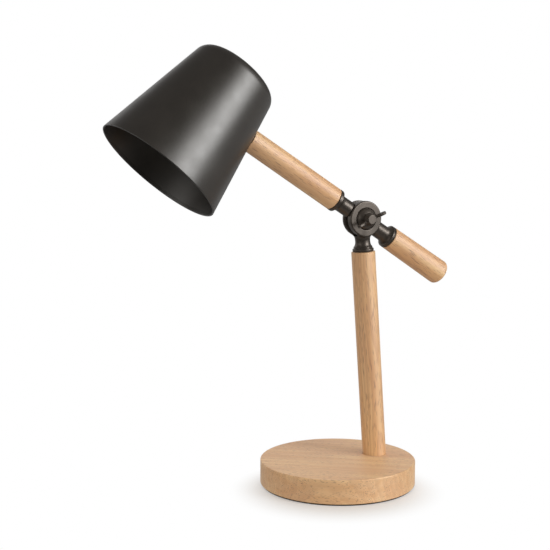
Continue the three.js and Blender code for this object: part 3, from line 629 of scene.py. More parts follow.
def wood(name, place, shift, pith, ring, banding=0.42, pore_length=1.0):
    """Pale hardwood with the grain along the Z of the given place: growth rings round a pith
    outside the piece, drawn-out fibres, and short brown pores."""
    s = new_material(name)
    back = place.inverted()
    grain = s.place((1 / MM,) * 3, back.to_euler(), Vector(shift) + back.translation / MM)

    def stretched(across, along, shift=(0, 0, 0)):
        return s.place((across, across, along), shift=shift, vector=grain)

    def streaks(across, along, detail, roughness=0.5, shift=(0, 0, 0)):
        return s.noise(stretched(across, along, shift), 1.0, detail, roughness)

    def pores(across, along, reach, shift, dense):
        """Flecks in the cells of a drawn-out mosaic, in the share of them that dense says."""
        cells = s.add("TexVoronoi", Vector=stretched(across, along / pore_length, shift), Scale=1.0)
        chance = s.add("SeparateColor", Color=cells["Color"])[0]
        return s.times(s.span(cells["Distance"], reach, 0.14), s.math("LESS_THAN", chance, dense))

    axes = s.add("SeparateXYZ", Vector=grain)
    dx, dy = s.minus(axes[0], pith[0]), s.minus(axes[1], pith[1])
    distance = s.math("SQRT", s.plus(s.times(dx, dx), s.times(dy, dy)))
    distance = s.plus(distance, s.times(streaks(0.05, 0.008, 2.0), RING_WANDER))
    distance = s.plus(distance, s.times(streaks(0.02, 0.004, 1.0, shift=(7, 3, 1)), RING_SWAY))
    phase = s.math("FRACT", s.math("DIVIDE", distance, ring))
    late = s.times(s.span(phase, 0.1, 0.88), s.span(phase, 0.9, 1.0, 1.0, 0.0))
    fibre = streaks(1.5, 0.03, 4.0, 0.62)
    broad = streaks(0.16, 0.006, 3.0, shift=(3, 9, 2))
    cloud = streaks(0.03, 0.012, 2.0, shift=(1, 5, 8))
    drift = streaks(0.1, 0.012, 2.0, shift=(4, 4, 9))
    hair = streaks(2.4, 0.055, 2.0, shift=(9, 1, 6))
    # pores lie in clusters: dense where the growth ring begins, thin elsewhere
    early = s.times(s.span(phase, 0.05, 0.2), s.span(phase, 0.35, 0.6, 1.0, 0.0))
    dense = s.times(s.plus(early, 0.45), s.span(drift, 0.3, 0.52))
    fine = pores(1.3, 0.08, 0.34, (0, 0, 0), dense)
    bold = pores(0.8, 0.055, 0.36, (5, 2, 4), s.times(dense, 0.45))

    colour = s.mix(s.span(broad, 0.32, 0.68), WOOD_PALE, WOOD_HONEY)
    for share, tone in (
        (s.span(cloud, 0.35, 0.7, 0.0, 0.55), WOOD_ROSY),
        (s.times(late, banding), WOOD_LATE),
        (s.span(fibre, 0.52, 0.8, 0.0, 0.5), WOOD_LATE),
        (s.span(fibre, 0.5, 0.22, 0.0, 0.3), WOOD_PALE),
        (s.times(fine, 0.76), WOOD_PORE),
        (s.times(bold, 0.82), WOOD_PORE),
        (s.span(hair, 0.6, 0.74, 0.0, 0.3), WOOD_PORE),
    ):
        colour = s.mix(share, colour, tone)
    s.finish(Base_Color=colour, Roughness=s.span(fibre, 0.2, 0.8, 0.6, 0.68), IOR=1.75,
             Specular_IOR_Level=1.0, Sheen_Weight=0.16, Sheen_Roughness=0.35, Coat_Weight=0.7,
             Coat_Roughness=0.52)
    s.bump(s.minus(s.times(fibre, 0.5), s.plus(fine, bold)), 0.00005, 0.25)


def metal(name, colour, metallic, rough, speckle=1400.0, depth=0.000012, cloudy=0.15,
          specular=0.5, gloss=WHITE):
    """Satin metal: a fine even tooth, and a slow drift in tone and gloss."""
    s = new_material(name)
    spot = s.place()
    tooth = s.noise(spot, speckle, 2.0, 0.6)
    drift = s.noise(spot, 45.0, 3.0, 0.55)
    cloud = s.span(drift, 0.3, 0.7, rough - 0.03, rough + 0.03)
    roughness = s.plus(cloud, s.times(s.minus(tooth, 0.5), 0.08))
    tone = s.mix(s.span(drift, 0.3, 0.7), toned(colour, 1 - cloudy), toned(colour, 1 + cloudy))
    s.finish(Base_Color=tone, Roughness=roughness, Metallic=metallic, Specular_IOR_Level=specular,
             Specular_Tint=gloss)
    s.bump(tooth, depth, 0.5)


def moulded(name, colour, rough, speckle=900.0, depth=0.00003, coat=0.0):
    """A moulded, foamed or glazed surface with a fine tooth and faint patches."""
    s = new_material(name)
    spot = s.place()
    tooth = s.noise(spot, speckle, 3.0, 0.6)
    patch = s.noise(spot, 60.0, 2.0)
    s.finish(Base_Color=s.mix(s.span(patch, 0.3, 0.7), toned(colour, 0.86), colour), Coat_Weight=coat,
             Roughness=s.span(tooth, 0.3, 0.7, rough - 0.05, rough + 0.05))
    s.bump(tooth, depth, 0.6)


RING_WANDER = 9.0
RING_SWAY = 16.0
WOOD_PALE = rgb(231, 189, 129)
WOOD_HONEY = rgb(220, 167, 101)
WOOD_ROSY = rgb(206, 149, 90)
WOOD_LATE = rgb(179, 116, 60)
WOOD_PORE = rgb(124, 57, 15)
WARM_GLOSS = (1.0, 0.975, 0.93, 1.0)
# the foot's grain is level, and shows its end at the right
FOOT_GRAIN = Matrix.Rotation(math.radians(-37), 4, "Z") @ turned(QUARTER)

materials = {}
wood("wood_foot", FOOT_GRAIN, (0, 0, 0), (-46, 70), 5.2, 0.26, 0.4)
wood("wood_post", POST, (12, 31, 140), (30, -38), 3.6)
wood("wood_arm", ARM, (71, 5, 20), (95, 44), 4.0)
wood("wood_tail", TAIL, (40, 66, 310), (80, 20), 4.4)
metal("bronze_metal", rgb(84, 77, 70), 0.7, 0.4)
metal("shade_paint", rgb(28, 22, 15), 0.0, 0.42, 1100.0, 0.00002, 0.09, 1.0, WARM_GLOSS)
metal("zinc_steel", rgb(196, 198, 200), 1.0, 0.32, 800.0, 0.00001)
metal("ballast_steel", rgb(126, 128, 131), 1.0, 0.55, 500.0, 0.00004, 0.36)
moulded("foot_pad", rgb(34, 31, 29), 0.9, 1600.0, 0.0001)
moulded("black_moulding", rgb(30, 29, 29), 0.5)
moulded("socket_insert", rgb(234, 230, 222), 0.35, 700.0, 0.00001, 0.3)
moulded("nylon_shim", rgb(50, 47, 44), 0.55)
moulded("opal_glass", rgb(244, 241, 234), 0.25, 300.0, 0.000004, 0.4)
moulded("flex_sheath", rgb(40, 36, 33), 0.6)


# Pieces

slot_of = {part["node"]: part["material_slot"] for part in frame["record"]["subparts"]}
body_of = {node: body for body, nodes in frame["record"]["behaviour"]["bodies"].items() for node in nodes}


def add_piece(name, mesh, place, node, material=None):
    """A piece that stands for a node, rides on its body and takes its slot."""
    body, slot = body_of[node], slot_of[node]
    mesh.name = name
    mesh.transform(place)
    mesh.materials.clear()
    mesh.materials.append(materials[material or slot])
    piece = linked(name, mesh)
    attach(piece, body)
    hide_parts(node)


def add_turned(name, outline, place, node, sides=TURNED_SIDES, material=None):
    add_piece(name, turned_mesh(outline, sides), place, node, material)


def add_foot():
    disc = turned_mesh(rounded([
        (0, RECESS_CEILING), (RECESS_RADIUS, RECESS_CEILING), (RECESS_RADIUS, WOOD_BOTTOM),
        (BASE_RADIUS, WOOD_BOTTOM, BASE_BOTTOM_ROUND), (BASE_RADIUS, BASE_TOP, BASE_TOP_ROUND),
        (0, BASE_TOP),
    ]), WIDE_SIDES)
    # where the post's nut bears, along the post's axis
    seat = (RECESS_CEILING - BASE_TOP) / math.cos(POST_LEAN) + SPOT_FACE_DEPTH
    cutters = [
        drill(POST, POST_RADIUS + SEAT_GAP, -POST_SOCKET_DEPTH, POST_RADIUS, TURNED_SIDES),
        drill(POST, TUBE_HOLE, seat - OVERRUN, -POST_SOCKET_DEPTH + OVERRUN),
        drill(POST, SPOT_FACE_RADIUS, seat - SPOT_FACE_DEPTH - OVERRUN, seat, TURNED_SIDES),
        drill(INLET, INLET_BARREL_RADIUS + SEAT_GAP, RECESS_RADIUS - OVERRUN, BASE_RADIUS + OVERRUN),
    ]
    for turn in (QUARTER, 2 * QUARTER, 3 * QUARTER):
        place = moved(SCREW_CIRCLE * math.cos(turn), SCREW_CIRCLE * math.sin(turn), 0)
        cutters.append(drill(place, SCREW_HOLE_RADIUS, RECESS_CEILING - OVERRUN, SCREW_HOLE_DEPTH))
    add_piece("foot_disc", cut(disc, cutters), FOOT, "base_disc", "wood_foot")
    pad = rounded([(0, 0), (PAD_RADIUS, 0, PAD_ROUND), (PAD_RADIUS, PAD_TOP, PAD_ROUND), (0, PAD_TOP)])
    add_turned("foot_pad_disc", pad, FOOT, "base_pad", WIDE_SIDES)
    barrel = RECESS_RADIUS + SEAT_GAP
    flange = BASE_RADIUS + SEAT_GAP
    end = flange + INLET_FLANGE_THICKNESS
    add_turned("inlet_bush", rounded([
        (INLET_BORE_RADIUS, barrel), (INLET_BARREL_RADIUS, barrel), (INLET_BARREL_RADIUS, flange),
        (INLET_FLANGE_RADIUS, flange), (INLET_FLANGE_RADIUS, end, INLET_FLANGE_THICKNESS * 0.7),
        (INLET_BORE_RADIUS, end, INLET_FLANGE_THICKNESS * 0.3),
    ]), INLET, "cord_inlet_bush", SMALL_SIDES)


def bored_rod(first, last):
    """A rod between two outer corners, bored for the lead and wider where the tubes sit."""
    start, end = first[1], last[1]
    return rounded([
        (TUBE_HOLE, start), first, last, (TUBE_HOLE, end), (TUBE_HOLE, end - TUBE_SEAT),
        (LEAD_BORE, end - TUBE_SEAT), (LEAD_BORE, start + TUBE_SEAT), (TUBE_HOLE, start + TUBE_SEAT),
    ])


def add_post():
    foot = (POST_RADIUS, -POST_SOCKET_DEPTH + SEAT_GAP, POST_BOTTOM_CHAMFER)
    top = (POST_RADIUS, PIVOT_HEIGHT - COLLAR_DROP, POST_TOP_ROUND)
    add_turned("post_turned", bored_rod(foot, top), POST, "post_rod", material="wood_post")


def add_fork():
    bottom = -COLLAR_DROP + SEAT_GAP
    ring_top = bottom + FORK_RING_HEIGHT
    flare_foot = ring_top + 1.0
    groove_radius = COLLAR_RADIUS - FORK_GROOVE_DEPTH
    waist = (FORK_NECK_RADIUS, -FORK_WAIST_DROP)
    root_radius = FORK_NECK_RADIUS + 0.3
    neck = outline_field(rounded([
        (0, bottom), (COLLAR_RADIUS - 0.6, bottom, 0.2), (COLLAR_RADIUS, bottom + 0.7, 0.5),
        (COLLAR_RADIUS, ring_top - 0.4, 1.2), (groove_radius, ring_top, 0.3),
        (groove_radius, ring_top + FORK_GROOVE_HEIGHT, 0.3), (COLLAR_RADIUS - 0.6, flare_foot, 0.3),
    ]) + bend((COLLAR_RADIUS - 0.7, flare_foot + 0.1), (FORK_NECK_RADIUS, flare_foot + 1.6), waist) + [
        waist, (root_radius, -CHEEK_RADIUS), (root_radius, -CHEEK_RADIUS / 2), (0, -CHEEK_RADIUS / 2),
    ])
    limits = [arm_turn + POST_LEAN + math.radians(tilt) for tilt in joint("arm_tilt")["range_deg"]]

    def field(x, y, z):
        off_pivot = np.hypot(x, z)
        off_post = np.hypot(x, y)
        front = disc_field(off_pivot, -y, CHEEK_RADIUS, 0, FRONT_FACE, CHEEK_ROUND)
        rear = disc_field(off_pivot, -y, CHEEK_RADIUS, -REAR_FACE, 0, CHEEK_ROUND * 0.6)
        cheeks = np.minimum(front, rear)
        solid = soft_union(neck(off_post, z), cheeks, FORK_BLEND)
        # the blend may not fill out the round faces, only the corner between neck and cheeks
        solid = np.where(z > -CHEEK_RADIUS / 2, cheeks, solid)
        # room in that corner for the eye's necks at both ends of the tilt
        for angle in limits:
            off_neck = np.hypot(x * math.cos(angle) - z * math.sin(angle), y)
            relief = np.maximum(off_neck - EYE_NECK_RADIUS - NECK_ROOM, CHEEK_RADIUS - off_pivot)
            solid = soft_cut(solid, relief)
        solid = soft_cut(solid, disc_field(off_pivot, -y, SLOT_RADIUS, -HALF_SLOT, HALF_SLOT, 0.4), 0.9)
        for radius, floor, corner in (
            (DOME_RECESS_RADIUS, FRONT_FACE - DOME_RECESS_DEPTH, 0.4),
            (BOLT_HOLE, 0, 0.0),
        ):
            solid = soft_cut(solid, disc_field(off_pivot, -y, radius, floor, 2 * FRONT_FACE, corner))
        square = np.maximum(np.abs(x), np.abs(z)) - BOLT_SQUARE / 2 - SEAT_GAP
        solid = soft_cut(solid, np.maximum(square, -y))
        for radius, end in ((NECK_LEAD_BORE, -CHEEK_RADIUS / 2), (TUBE_HOLE, bottom + FORK_STUD_DEPTH)):
            solid = soft_cut(solid, disc_field(off_post, z, radius, bottom - OVERRUN, end))
        return solid

    low = (-CHEEK_RADIUS, -FRONT_FACE, bottom)
    high = (CHEEK_RADIUS, REAR_FACE, CHEEK_RADIUS)
    add_piece("fork_cast", field_mesh(field, low, high), KNUCKLE, "post_fork")


def neck_field(lip_radius, lip_low, beads):
    """An eye's neck: a plain waist that flares up to the first bead."""
    flare_top = (lip_radius - 1.3, lip_low - 0.1)
    waist_end = (EYE_NECK_RADIUS, lip_low - 5.0)
    start = [(0, EYE_RADIUS / 2), (EYE_NECK_RADIUS, EYE_RADIUS / 2), waist_end]
    flare = bend(waist_end, (EYE_NECK_RADIUS + 0.3, lip_low - 1.2), flare_top)
    return outline_field(start + flare + [flare_top] + rounded([(0, lip_low)] + beads)[1:])


def add_eye():
    upper_end = UPPER_REACH - SEAT_GAP
    upper_low = upper_end - UPPER_LIP_HEIGHT
    lip = UPPER_ROD_RADIUS + LIP_OVERLAP
    upper = neck_field(lip, upper_low, [
        (lip - 1.2, upper_low, 0.1), (lip, upper_low + 0.35, 1.1), (lip, upper_end - 0.3, 0.8),
        (lip - 0.9, upper_end, 0.2), (0, upper_end),
    ])
    tail_end = TAIL_REACH - SEAT_GAP
    tail_low = tail_end - TAIL_LIP_HEIGHT
    bead = TAIL_ROD_RADIUS - 0.1
    groove = TAIL_ROD_RADIUS - 0.6
    bead_top = tail_low + TAIL_BEAD_HEIGHT
    tail = neck_field(TAIL_ROD_RADIUS, tail_low, [
        (TAIL_ROD_RADIUS - 1.4, tail_low, 0.1), (bead, tail_low + 0.3, 1.2), (bead, bead_top, 0.9),
        (groove, bead_top + GROOVE_STEP, 0.2), (groove, bead_top + 2 * GROOVE_STEP, 0.2),
        (TAIL_ROD_RADIUS, bead_top + 3 * GROOVE_STEP, 0.3), (TAIL_ROD_RADIUS, tail_end, 0.5), (0, tail_end),
    ])
    channel_inner = EYE_RADIUS - CHANNEL_DEPTH
    channel_start = -math.asin(NECK_LEAD_BORE / channel_inner)
    half_sweep = (CHANNEL_SWEEP - channel_start) / 2

    def field(x, y, z):
        off_pivot = np.hypot(x, z)
        off_arm = np.hypot(x, y)
        necks = np.minimum(upper(off_arm, z), tail(off_arm, -z))
        for low, high in ((-2 * EYE_RADIUS, -EYE_HALF), (EYE_HALF, 2 * EYE_RADIUS)):
            necks = soft_cut(necks, disc_field(off_pivot, y, NECK_SCOOP, low, high))
        eye = disc_field(off_pivot, y, EYE_RADIUS, -EYE_HALF, EYE_HALF, 0.3)
        solid = soft_union(necks, eye, EYE_BLEND)
        solid = np.where(off_pivot < EYE_RADIUS, np.maximum(solid, np.abs(y) - EYE_HALF), solid)
        turn = np.arctan2(-x, z)
        ends = (np.abs(turn - channel_start - half_sweep) - half_sweep) * EYE_RADIUS
        channel = np.maximum(np.abs(y) - EYE_HALF + CHANNEL_WALL, channel_inner - off_pivot)
        channel = np.maximum(np.maximum(channel, off_pivot - NECK_SCOOP), ends)
        solid = soft_cut(solid, channel, EDGE_BLEND / 2)
        solid = soft_cut(solid, disc_field(off_pivot, y, BOLT_HOLE, -EYE_RADIUS, EYE_RADIUS))
        for radius, along, start, end in (
            (NECK_LEAD_BORE, z, NECK_SCOOP - OVERRUN, upper_end + OVERRUN),
            (TUBE_HOLE, z, upper_end - UPPER_STUD_DEPTH, upper_end + OVERRUN),
            (TAIL_STUD_RADIUS + SEAT_GAP, -z, tail_end - TAIL_STUD_ROOM, tail_end + OVERRUN),
        ):
            solid = soft_cut(solid, disc_field(off_arm, along, radius, start, end))
        return solid

    low = (-EYE_RADIUS, -TAIL_ROD_RADIUS, -tail_end)
    high = (EYE_RADIUS, TAIL_ROD_RADIUS, upper_end)
    add_piece("eye_cast", field_mesh(field, low, high), ARM, "arm_eye")

    for name, side in (("front_shim", -1), ("rear_shim", 1)):
        middle = side * (HALF_SLOT + EYE_HALF) / 2
        low, high = middle - SHIM_THICKNESS / 2, middle + SHIM_THICKNESS / 2
        ring = [(BOLT_HOLE, low), (SHIM_RADIUS, low), (SHIM_RADIUS, high), (BOLT_HOLE, high)]
        add_turned(name + "_ring", ring, KNUCKLE @ rolled(-QUARTER), name)


def add_bolt_and_washer():
    forward = KNUCKLE @ rolled(QUARTER)
    seat = -REAR_FACE - SEAT_GAP
    head = seat - BOLT_HEAD_HEIGHT
    rim = (BOLT_HEAD_RADIUS, seat - BOLT_HEAD_HEIGHT / 4)
    shank = rounded([
        (0, head), *bend((0, head), (BOLT_HEAD_RADIUS, head), rim), rim, (BOLT_HEAD_RADIUS, seat),
        (BOLT_RADIUS, seat), (BOLT_RADIUS, BOLT_TIP, SEAT_GAP), (0, BOLT_TIP),
    ])
    half = BOLT_SQUARE / 2
    square = rounded([(-half, -half, 0.4), (half, -half, 0.4), (half, half, 0.4), (-half, half, 0.4)], 3)
    neck = prism_mesh(square, seat - SEAT_GAP, -HALF_SLOT - SEAT_GAP)
    bolt = cut(turned_mesh(shank), [(neck, FOOT)], "UNION")
    add_piece("bolt_carriage", bolt, forward, "pivot_bolt")

    edge = (DOME_RADIUS, DOME_BASE + DOME_EDGE)
    rise = bend(edge, (DOME_RADIUS - DOME_EDGE, DOME_TOP - DOME_EDGE), (DOME_CROWN, DOME_TOP), 16)
    crown = [(BOLT_HOLE, DOME_BASE), (DOME_RADIUS, DOME_BASE, 0.2), (*edge, 0.6), rise[0]]
    dome = rounded(crown)[:-1] + rise[1:] + [(DOME_CROWN, DOME_TOP), (BOLT_HOLE, DOME_TOP)]
    add_turned("washer_dome", dome, forward, "domed_washer")


def add_wing_nut():
    saddle = HUB_END - WING_TIP_ROUND
    low = HUB_BASE + WING_ROOT_RISE
    tip_x, tip_y = WING_SPAN - WING_TIP_ROUND, WING_REACH - WING_TIP_ROUND
    under = (WING_SPAN, tip_y - WING_TIP_ROUND / 2)
    root = (HUB_BASE_RADIUS, low)
    dip = (HUB_BASE_RADIUS, saddle)
    wing_edge = outline_field([
        (0, low), root, *bend(root, (tip_x, low + WING_ROOT_RISE), under), under,
        *arc((tip_x, tip_y), WING_TIP_ROUND, 0, QUARTER),
        *bend((tip_x, WING_REACH), (HUB_BASE_RADIUS + WING_TIP_ROUND, WING_REACH), dip), dip, (0, saddle),
    ])
    hub_edge = outline_field(rounded([
        (0, HUB_BASE), (HUB_BASE_RADIUS, HUB_BASE, 0.3), (*root, 0.4), (HUB_TIP_RADIUS, HUB_END, 0.5),
        (0, HUB_END),
    ]))

    def field(x, y, z):
        off_bolt = np.hypot(x, z)
        wing = combine(wing_edge(np.abs(x), -y), np.abs(z) - WING_THICKNESS / 2, 0.7)
        solid = soft_union(hub_edge(off_bolt, -y), wing, WING_BLEND)
        solid = np.maximum(solid, HUB_BASE + y)
        return soft_cut(solid, disc_field(off_bolt, -y, BOLT_HOLE, 0, BOLT_TIP + SEAT_GAP))

    box_low = (-WING_SPAN, -WING_REACH, -HUB_BASE_RADIUS)
    box_high = (WING_SPAN, -HUB_BASE, HUB_BASE_RADIUS)
    mesh = field_mesh(field, box_low, box_high, (WING_VOXEL,) * 3)
    add_piece("wing_nut_cast", mesh, WINGS, "wing_nut")


def add_rods():
    start = (UPPER_ROD_RADIUS, UPPER_REACH, ROD_EDGE_ROUND)
    end = (UPPER_ROD_TIP, UPPER_ROD_END, ROD_EDGE_ROUND / 2)
    add_turned("arm_turned", bored_rod(start, end), ARM, "upper_arm_rod", material="wood_arm")
    hole = TAIL_STUD_RADIUS + SEAT_GAP
    hole_end = TAIL_REACH + TAIL_STUD_DEPTH
    add_turned("tail_turned", rounded([
        (hole, TAIL_REACH), (TAIL_ROD_RADIUS, TAIL_REACH, ROD_EDGE_ROUND),
        (TAIL_ROD_TIP, TAIL_END, TAIL_END_ROUND), (0, TAIL_END), (0, hole_end), (hole, hole_end),
    ], 9), TAIL, "tail_arm_rod", material="wood_tail")


def hex_nut(low, high):
    """A six-sided nut with turned-down corners."""
    corner = NUT_ACROSS / math.sqrt(3)
    outline = [(corner * math.cos(k * math.pi / 3), corner * math.sin(k * math.pi / 3)) for k in range(6)]
    face = NUT_ACROSS / 2 + 0.1
    turned_down = turned_mesh([
        (TUBE_HOLE, low), (face, low), (corner, low + NUT_CHAMFER), (corner, high - NUT_CHAMFER),
        (face, high), (TUBE_HOLE, high),
    ])
    return cut(prism_mesh(outline, low, high), [(turned_down, FOOT)], "INTERSECT")


def add_tube(name, low, high, place, node):
    """A threaded tube, its thread as rings."""
    root = TUBE_RADIUS - THREAD_DEPTH
    outline = [(TUBE_BORE, low)]
    height = low
    while height < high - THREAD_PITCH:
        outline += [(root, height), (TUBE_RADIUS, height + THREAD_PITCH / 2)]
        height += THREAD_PITCH
    add_turned(name, outline + [(root, height), (root, high), (TUBE_BORE, high)], place, node, SMALL_SIDES)


def add_shade_hardware():
    slant = WASHER_RADIUS * math.tan(abs(WALL_ANGLE - ENTRY_ANGLE))
    washer_low = ARM_REACH + BRACKET_INNER + SEAT_GAP + slant
    washer_high = washer_low + WASHER_THICKNESS
    nut_low = washer_high + SEAT_GAP
    tube_low = UPPER_ROD_END - TUBE_SEAT + SEAT_GAP
    add_tube("nipple_tube", tube_low, ARM_REACH + NIPPLE_END, ARM, "shade_nipple")
    add_turned("nipple_washer", rounded([
        (TUBE_HOLE, washer_low), (WASHER_RADIUS, washer_low, 0.3), (WASHER_RADIUS, washer_high, 0.3),
        (TUBE_HOLE, washer_high),
    ]), ARM, "shade_nipple_washer")
    nut = hex_nut(nut_low, nut_low + NIPPLE_NUT_HEIGHT)
    add_piece("nipple_nut", nut, ARM, "shade_nipple_nut")


def shade_outline():
    """The spun wall, shoulder and closed top, with the hem turned in at the rim."""
    slope = math.tan(WALL_ANGLE)
    wall = SHADE_WALL / math.cos(WALL_ANGLE)
    hem = HEM_THICKNESS / math.cos(WALL_ANGLE)
    centre_z = SHADE_HEIGHT - SHADE_TOP_ROUND
    centre_r = RIM_RADIUS - slope * centre_z - SHADE_TOP_ROUND / math.cos(WALL_ANGLE)
    at_hem = RIM_RADIUS - slope * HEM_HEIGHT
    rim = rounded([
        (RIM_RADIUS - hem, 0, HEM_ROUND), (RIM_RADIUS, 0, HEM_ROUND), (RIM_RADIUS - slope * 10, 10),
        (at_hem - wall, HEM_HEIGHT + SUPPORT), (at_hem - hem, HEM_HEIGHT, HEM_ROUND / 2),
    ])
    turn = next(i for i, p in enumerate(rim) if p[1] > HEM_HEIGHT + 2 * SUPPORT)
    steps = 28
    wall_line = [(RIM_RADIUS - slope * centre_z * k / steps, centre_z * k / steps) for k in range(2, steps)]
    outer = arc((centre_r, centre_z), SHADE_TOP_ROUND, WALL_ANGLE, QUARTER)
    inner = arc((centre_r, centre_z), SHADE_TOP_ROUND - SHADE_WALL, QUARTER, WALL_ANGLE)
    flat = [(centre_r * k / 6, SHADE_HEIGHT) for k in range(5, 0, -1)]
    inner_flat = [(r, SHADE_HEIGHT - SHADE_WALL) for r, _ in reversed(flat)]
    inner_wall = [(r - wall, z) for r, z in reversed(wall_line)]
    top = [(0, SHADE_HEIGHT), (0, SHADE_HEIGHT - SHADE_WALL)]
    return rim[:turn] + wall_line + outer + flat + top + inner_flat + inner + inner_wall + rim[turn + 1:]


def on_arm(distance):
    """A point on the arm's axis in the shade's frame, counted from where it meets the wall."""
    inward = distance * math.cos(ENTRY_ANGLE)
    return Vector((ENTRY_RADIUS - inward, 0, ENTRY_HEIGHT - distance * math.sin(ENTRY_ANGLE)))


def entry_cutter(radius):
    place = Matrix.Translation(on_arm(0) * MM) @ turned(-QUARTER - ENTRY_ANGLE)
    return drill(place, radius, -NIPPLE_END, NIPPLE_END)


def add_shade():
    shell = cut(turned_mesh(shade_outline(), WIDE_SIDES), [entry_cutter(NIPPLE_HOLE)])
    add_piece("shade_spun", shell, SHADE, "shade_shell")


def bracket_outline():
    up = Vector((-math.sin(WALL_ANGLE), math.cos(WALL_ANGLE)))
    inward = Vector((-math.cos(WALL_ANGLE), -math.sin(WALL_ANGLE)))

    def side(depth):
        """One face of the strip, at that depth in it: up the wall, round the bend and along the top."""
        foot = Vector((ENTRY_RADIUS, ENTRY_HEIGHT)) + inward * (SHADE_WALL + BRACKET_WALL_GAP + depth)
        level = BRACKET_TOP - depth
        corner = foot + up * ((level - foot.y) / up.y)
        start = corner + up * (depth - BRACKET_BEND)
        end = (corner.x - BRACKET_BEND + depth, level)
        lower = [tuple(foot - up * BRACKET_FOOT), tuple(start)]
        return lower + bend(start, corner, end) + [end, (-BRACKET_TONGUE, level)]

    return side(0) + side(BRACKET_THICKNESS)[::-1]


def add_bracket():
    strip = prism_mesh(bracket_outline(), -BRACKET_WIDTH / 2, BRACKET_WIDTH / 2)
    strip.transform(rolled(QUARTER))
    hole = drill(FOOT, TUBE_HOLE, BRACKET_TOP - BRACKET_THICKNESS - OVERRUN, BRACKET_TOP + OVERRUN)
    drilled = cut(strip, [entry_cutter(TUBE_HOLE), hole])
    eased = shaped(drilled, "BEVEL", width=0.25 * MM, segments=2, limit_method="ANGLE",
                   angle_limit=SHARP_ANGLE)
    add_piece("bracket_strip", smooth(eased), SHADE, "holder_bracket")


def add_lampholder():
    inner = HOLDER_RADIUS - HOLDER_WALL
    cap_floor = HOLDER_TOP - HOLDER_FLOOR
    cap = turned_mesh(rounded([
        (TUBE_HOLE, HOLDER_TOP), (HOLDER_RADIUS, HOLDER_TOP, HOLDER_SHOULDER),
        (HOLDER_RADIUS, HOLDER_JOINT, 0.3), (inner, HOLDER_JOINT), (inner, cap_floor),
        (TUBE_HOLE, cap_floor),
    ], 9))
    side = moved(z=HOLDER_TOP - LEAD_ENTRY_DROP) @ turned(QUARTER)
    entry = drill(side, LEAD_RADIUS + LEAD_ENTRY_ROOM, inner - OVERRUN, HOLDER_RADIUS + OVERRUN)
    add_piece("holder_cap_moulded", cut(cap, [entry]), SHADE, "holder_cap")

    shell_top = HOLDER_JOINT - SEAT_GAP
    corners = [(inner, shell_top), (HOLDER_RADIUS, shell_top, 0.3)]
    for k in range(HOLDER_GRIPS):
        height = shell_top - 3 - k * HOLDER_GRIP_PITCH
        corners += [(HOLDER_RADIUS, height, 0.2), (HOLDER_RADIUS - 0.5, height - 0.5, 0.2),
                    (HOLDER_RADIUS, height - 1.0, 0.2)]
    lip_top = HOLDER_MOUTH + HOLDER_WALL
    corners += [(HOLDER_RADIUS, HOLDER_MOUTH, HOLDER_WALL), (HOLDER_MOUTH_RADIUS, HOLDER_MOUTH, 0.3),
                (HOLDER_MOUTH_RADIUS, lip_top), (inner, lip_top)]
    add_turned("holder_shell_moulded", rounded(corners, 3), SHADE, "holder_shell")

    radius = inner - INSERT_GAP
    low = lip_top + SEAT_GAP
    top = cap_floor - HOLDER_TUBE_DEPTH / 2
    floor = low + INSERT_SOCKET_DEPTH
    add_turned("holder_insert_glazed", rounded([
        (SOCKET_RADIUS, low, 0.4), (radius, low, 0.4), (radius, top, 0.4), (0, top), (0, floor),
        (SOCKET_RADIUS, floor),
    ]), SHADE, "holder_insert")
    nut_low = BRACKET_TOP + SEAT_GAP
    nut_high = nut_low + HOLDER_NUT_HEIGHT
    add_piece("holder_lock_nut", hex_nut(nut_low, nut_high), SHADE, "holder_nut")
    add_tube("holder_tube", cap_floor - SEAT_GAP, nut_high + SEAT_GAP, SHADE, "holder_nipple")


def add_lead():
    """The lead's last stretch, from the nipple in a soft bend to the side of the holder."""
    end = Vector((HOLDER_RADIUS - HOLDER_WALL + SEAT_GAP, 0, HOLDER_TOP - LEAD_ENTRY_DROP))
    line = bpy.data.curves.new("lead_line", "CURVE")
    line.dimensions = "3D"
    line.bevel_depth = LEAD_RADIUS * MM
    line.bevel_resolution = 6
    line.use_fill_caps = True
    line.resolution_u = 24
    spline = line.splines.new("BEZIER")
    spline.bezier_points.add(1)
    stops = [(on_arm(NIPPLE_END + SEAT_GAP), on_arm(NIPPLE_END + HOLDER_RADIUS)),
             (end, end + Vector((HOLDER_RADIUS, 0, 0)))]
    for point, (place, pull) in zip(spline.bezier_points, stops):
        point.co = place * MM
        point.handle_left_type = point.handle_right_type = "FREE"
        point.handle_left = point.handle_right = pull * MM
    add_piece("lead_bend", smooth(shaped(line)), SHADE, "holder_lead")


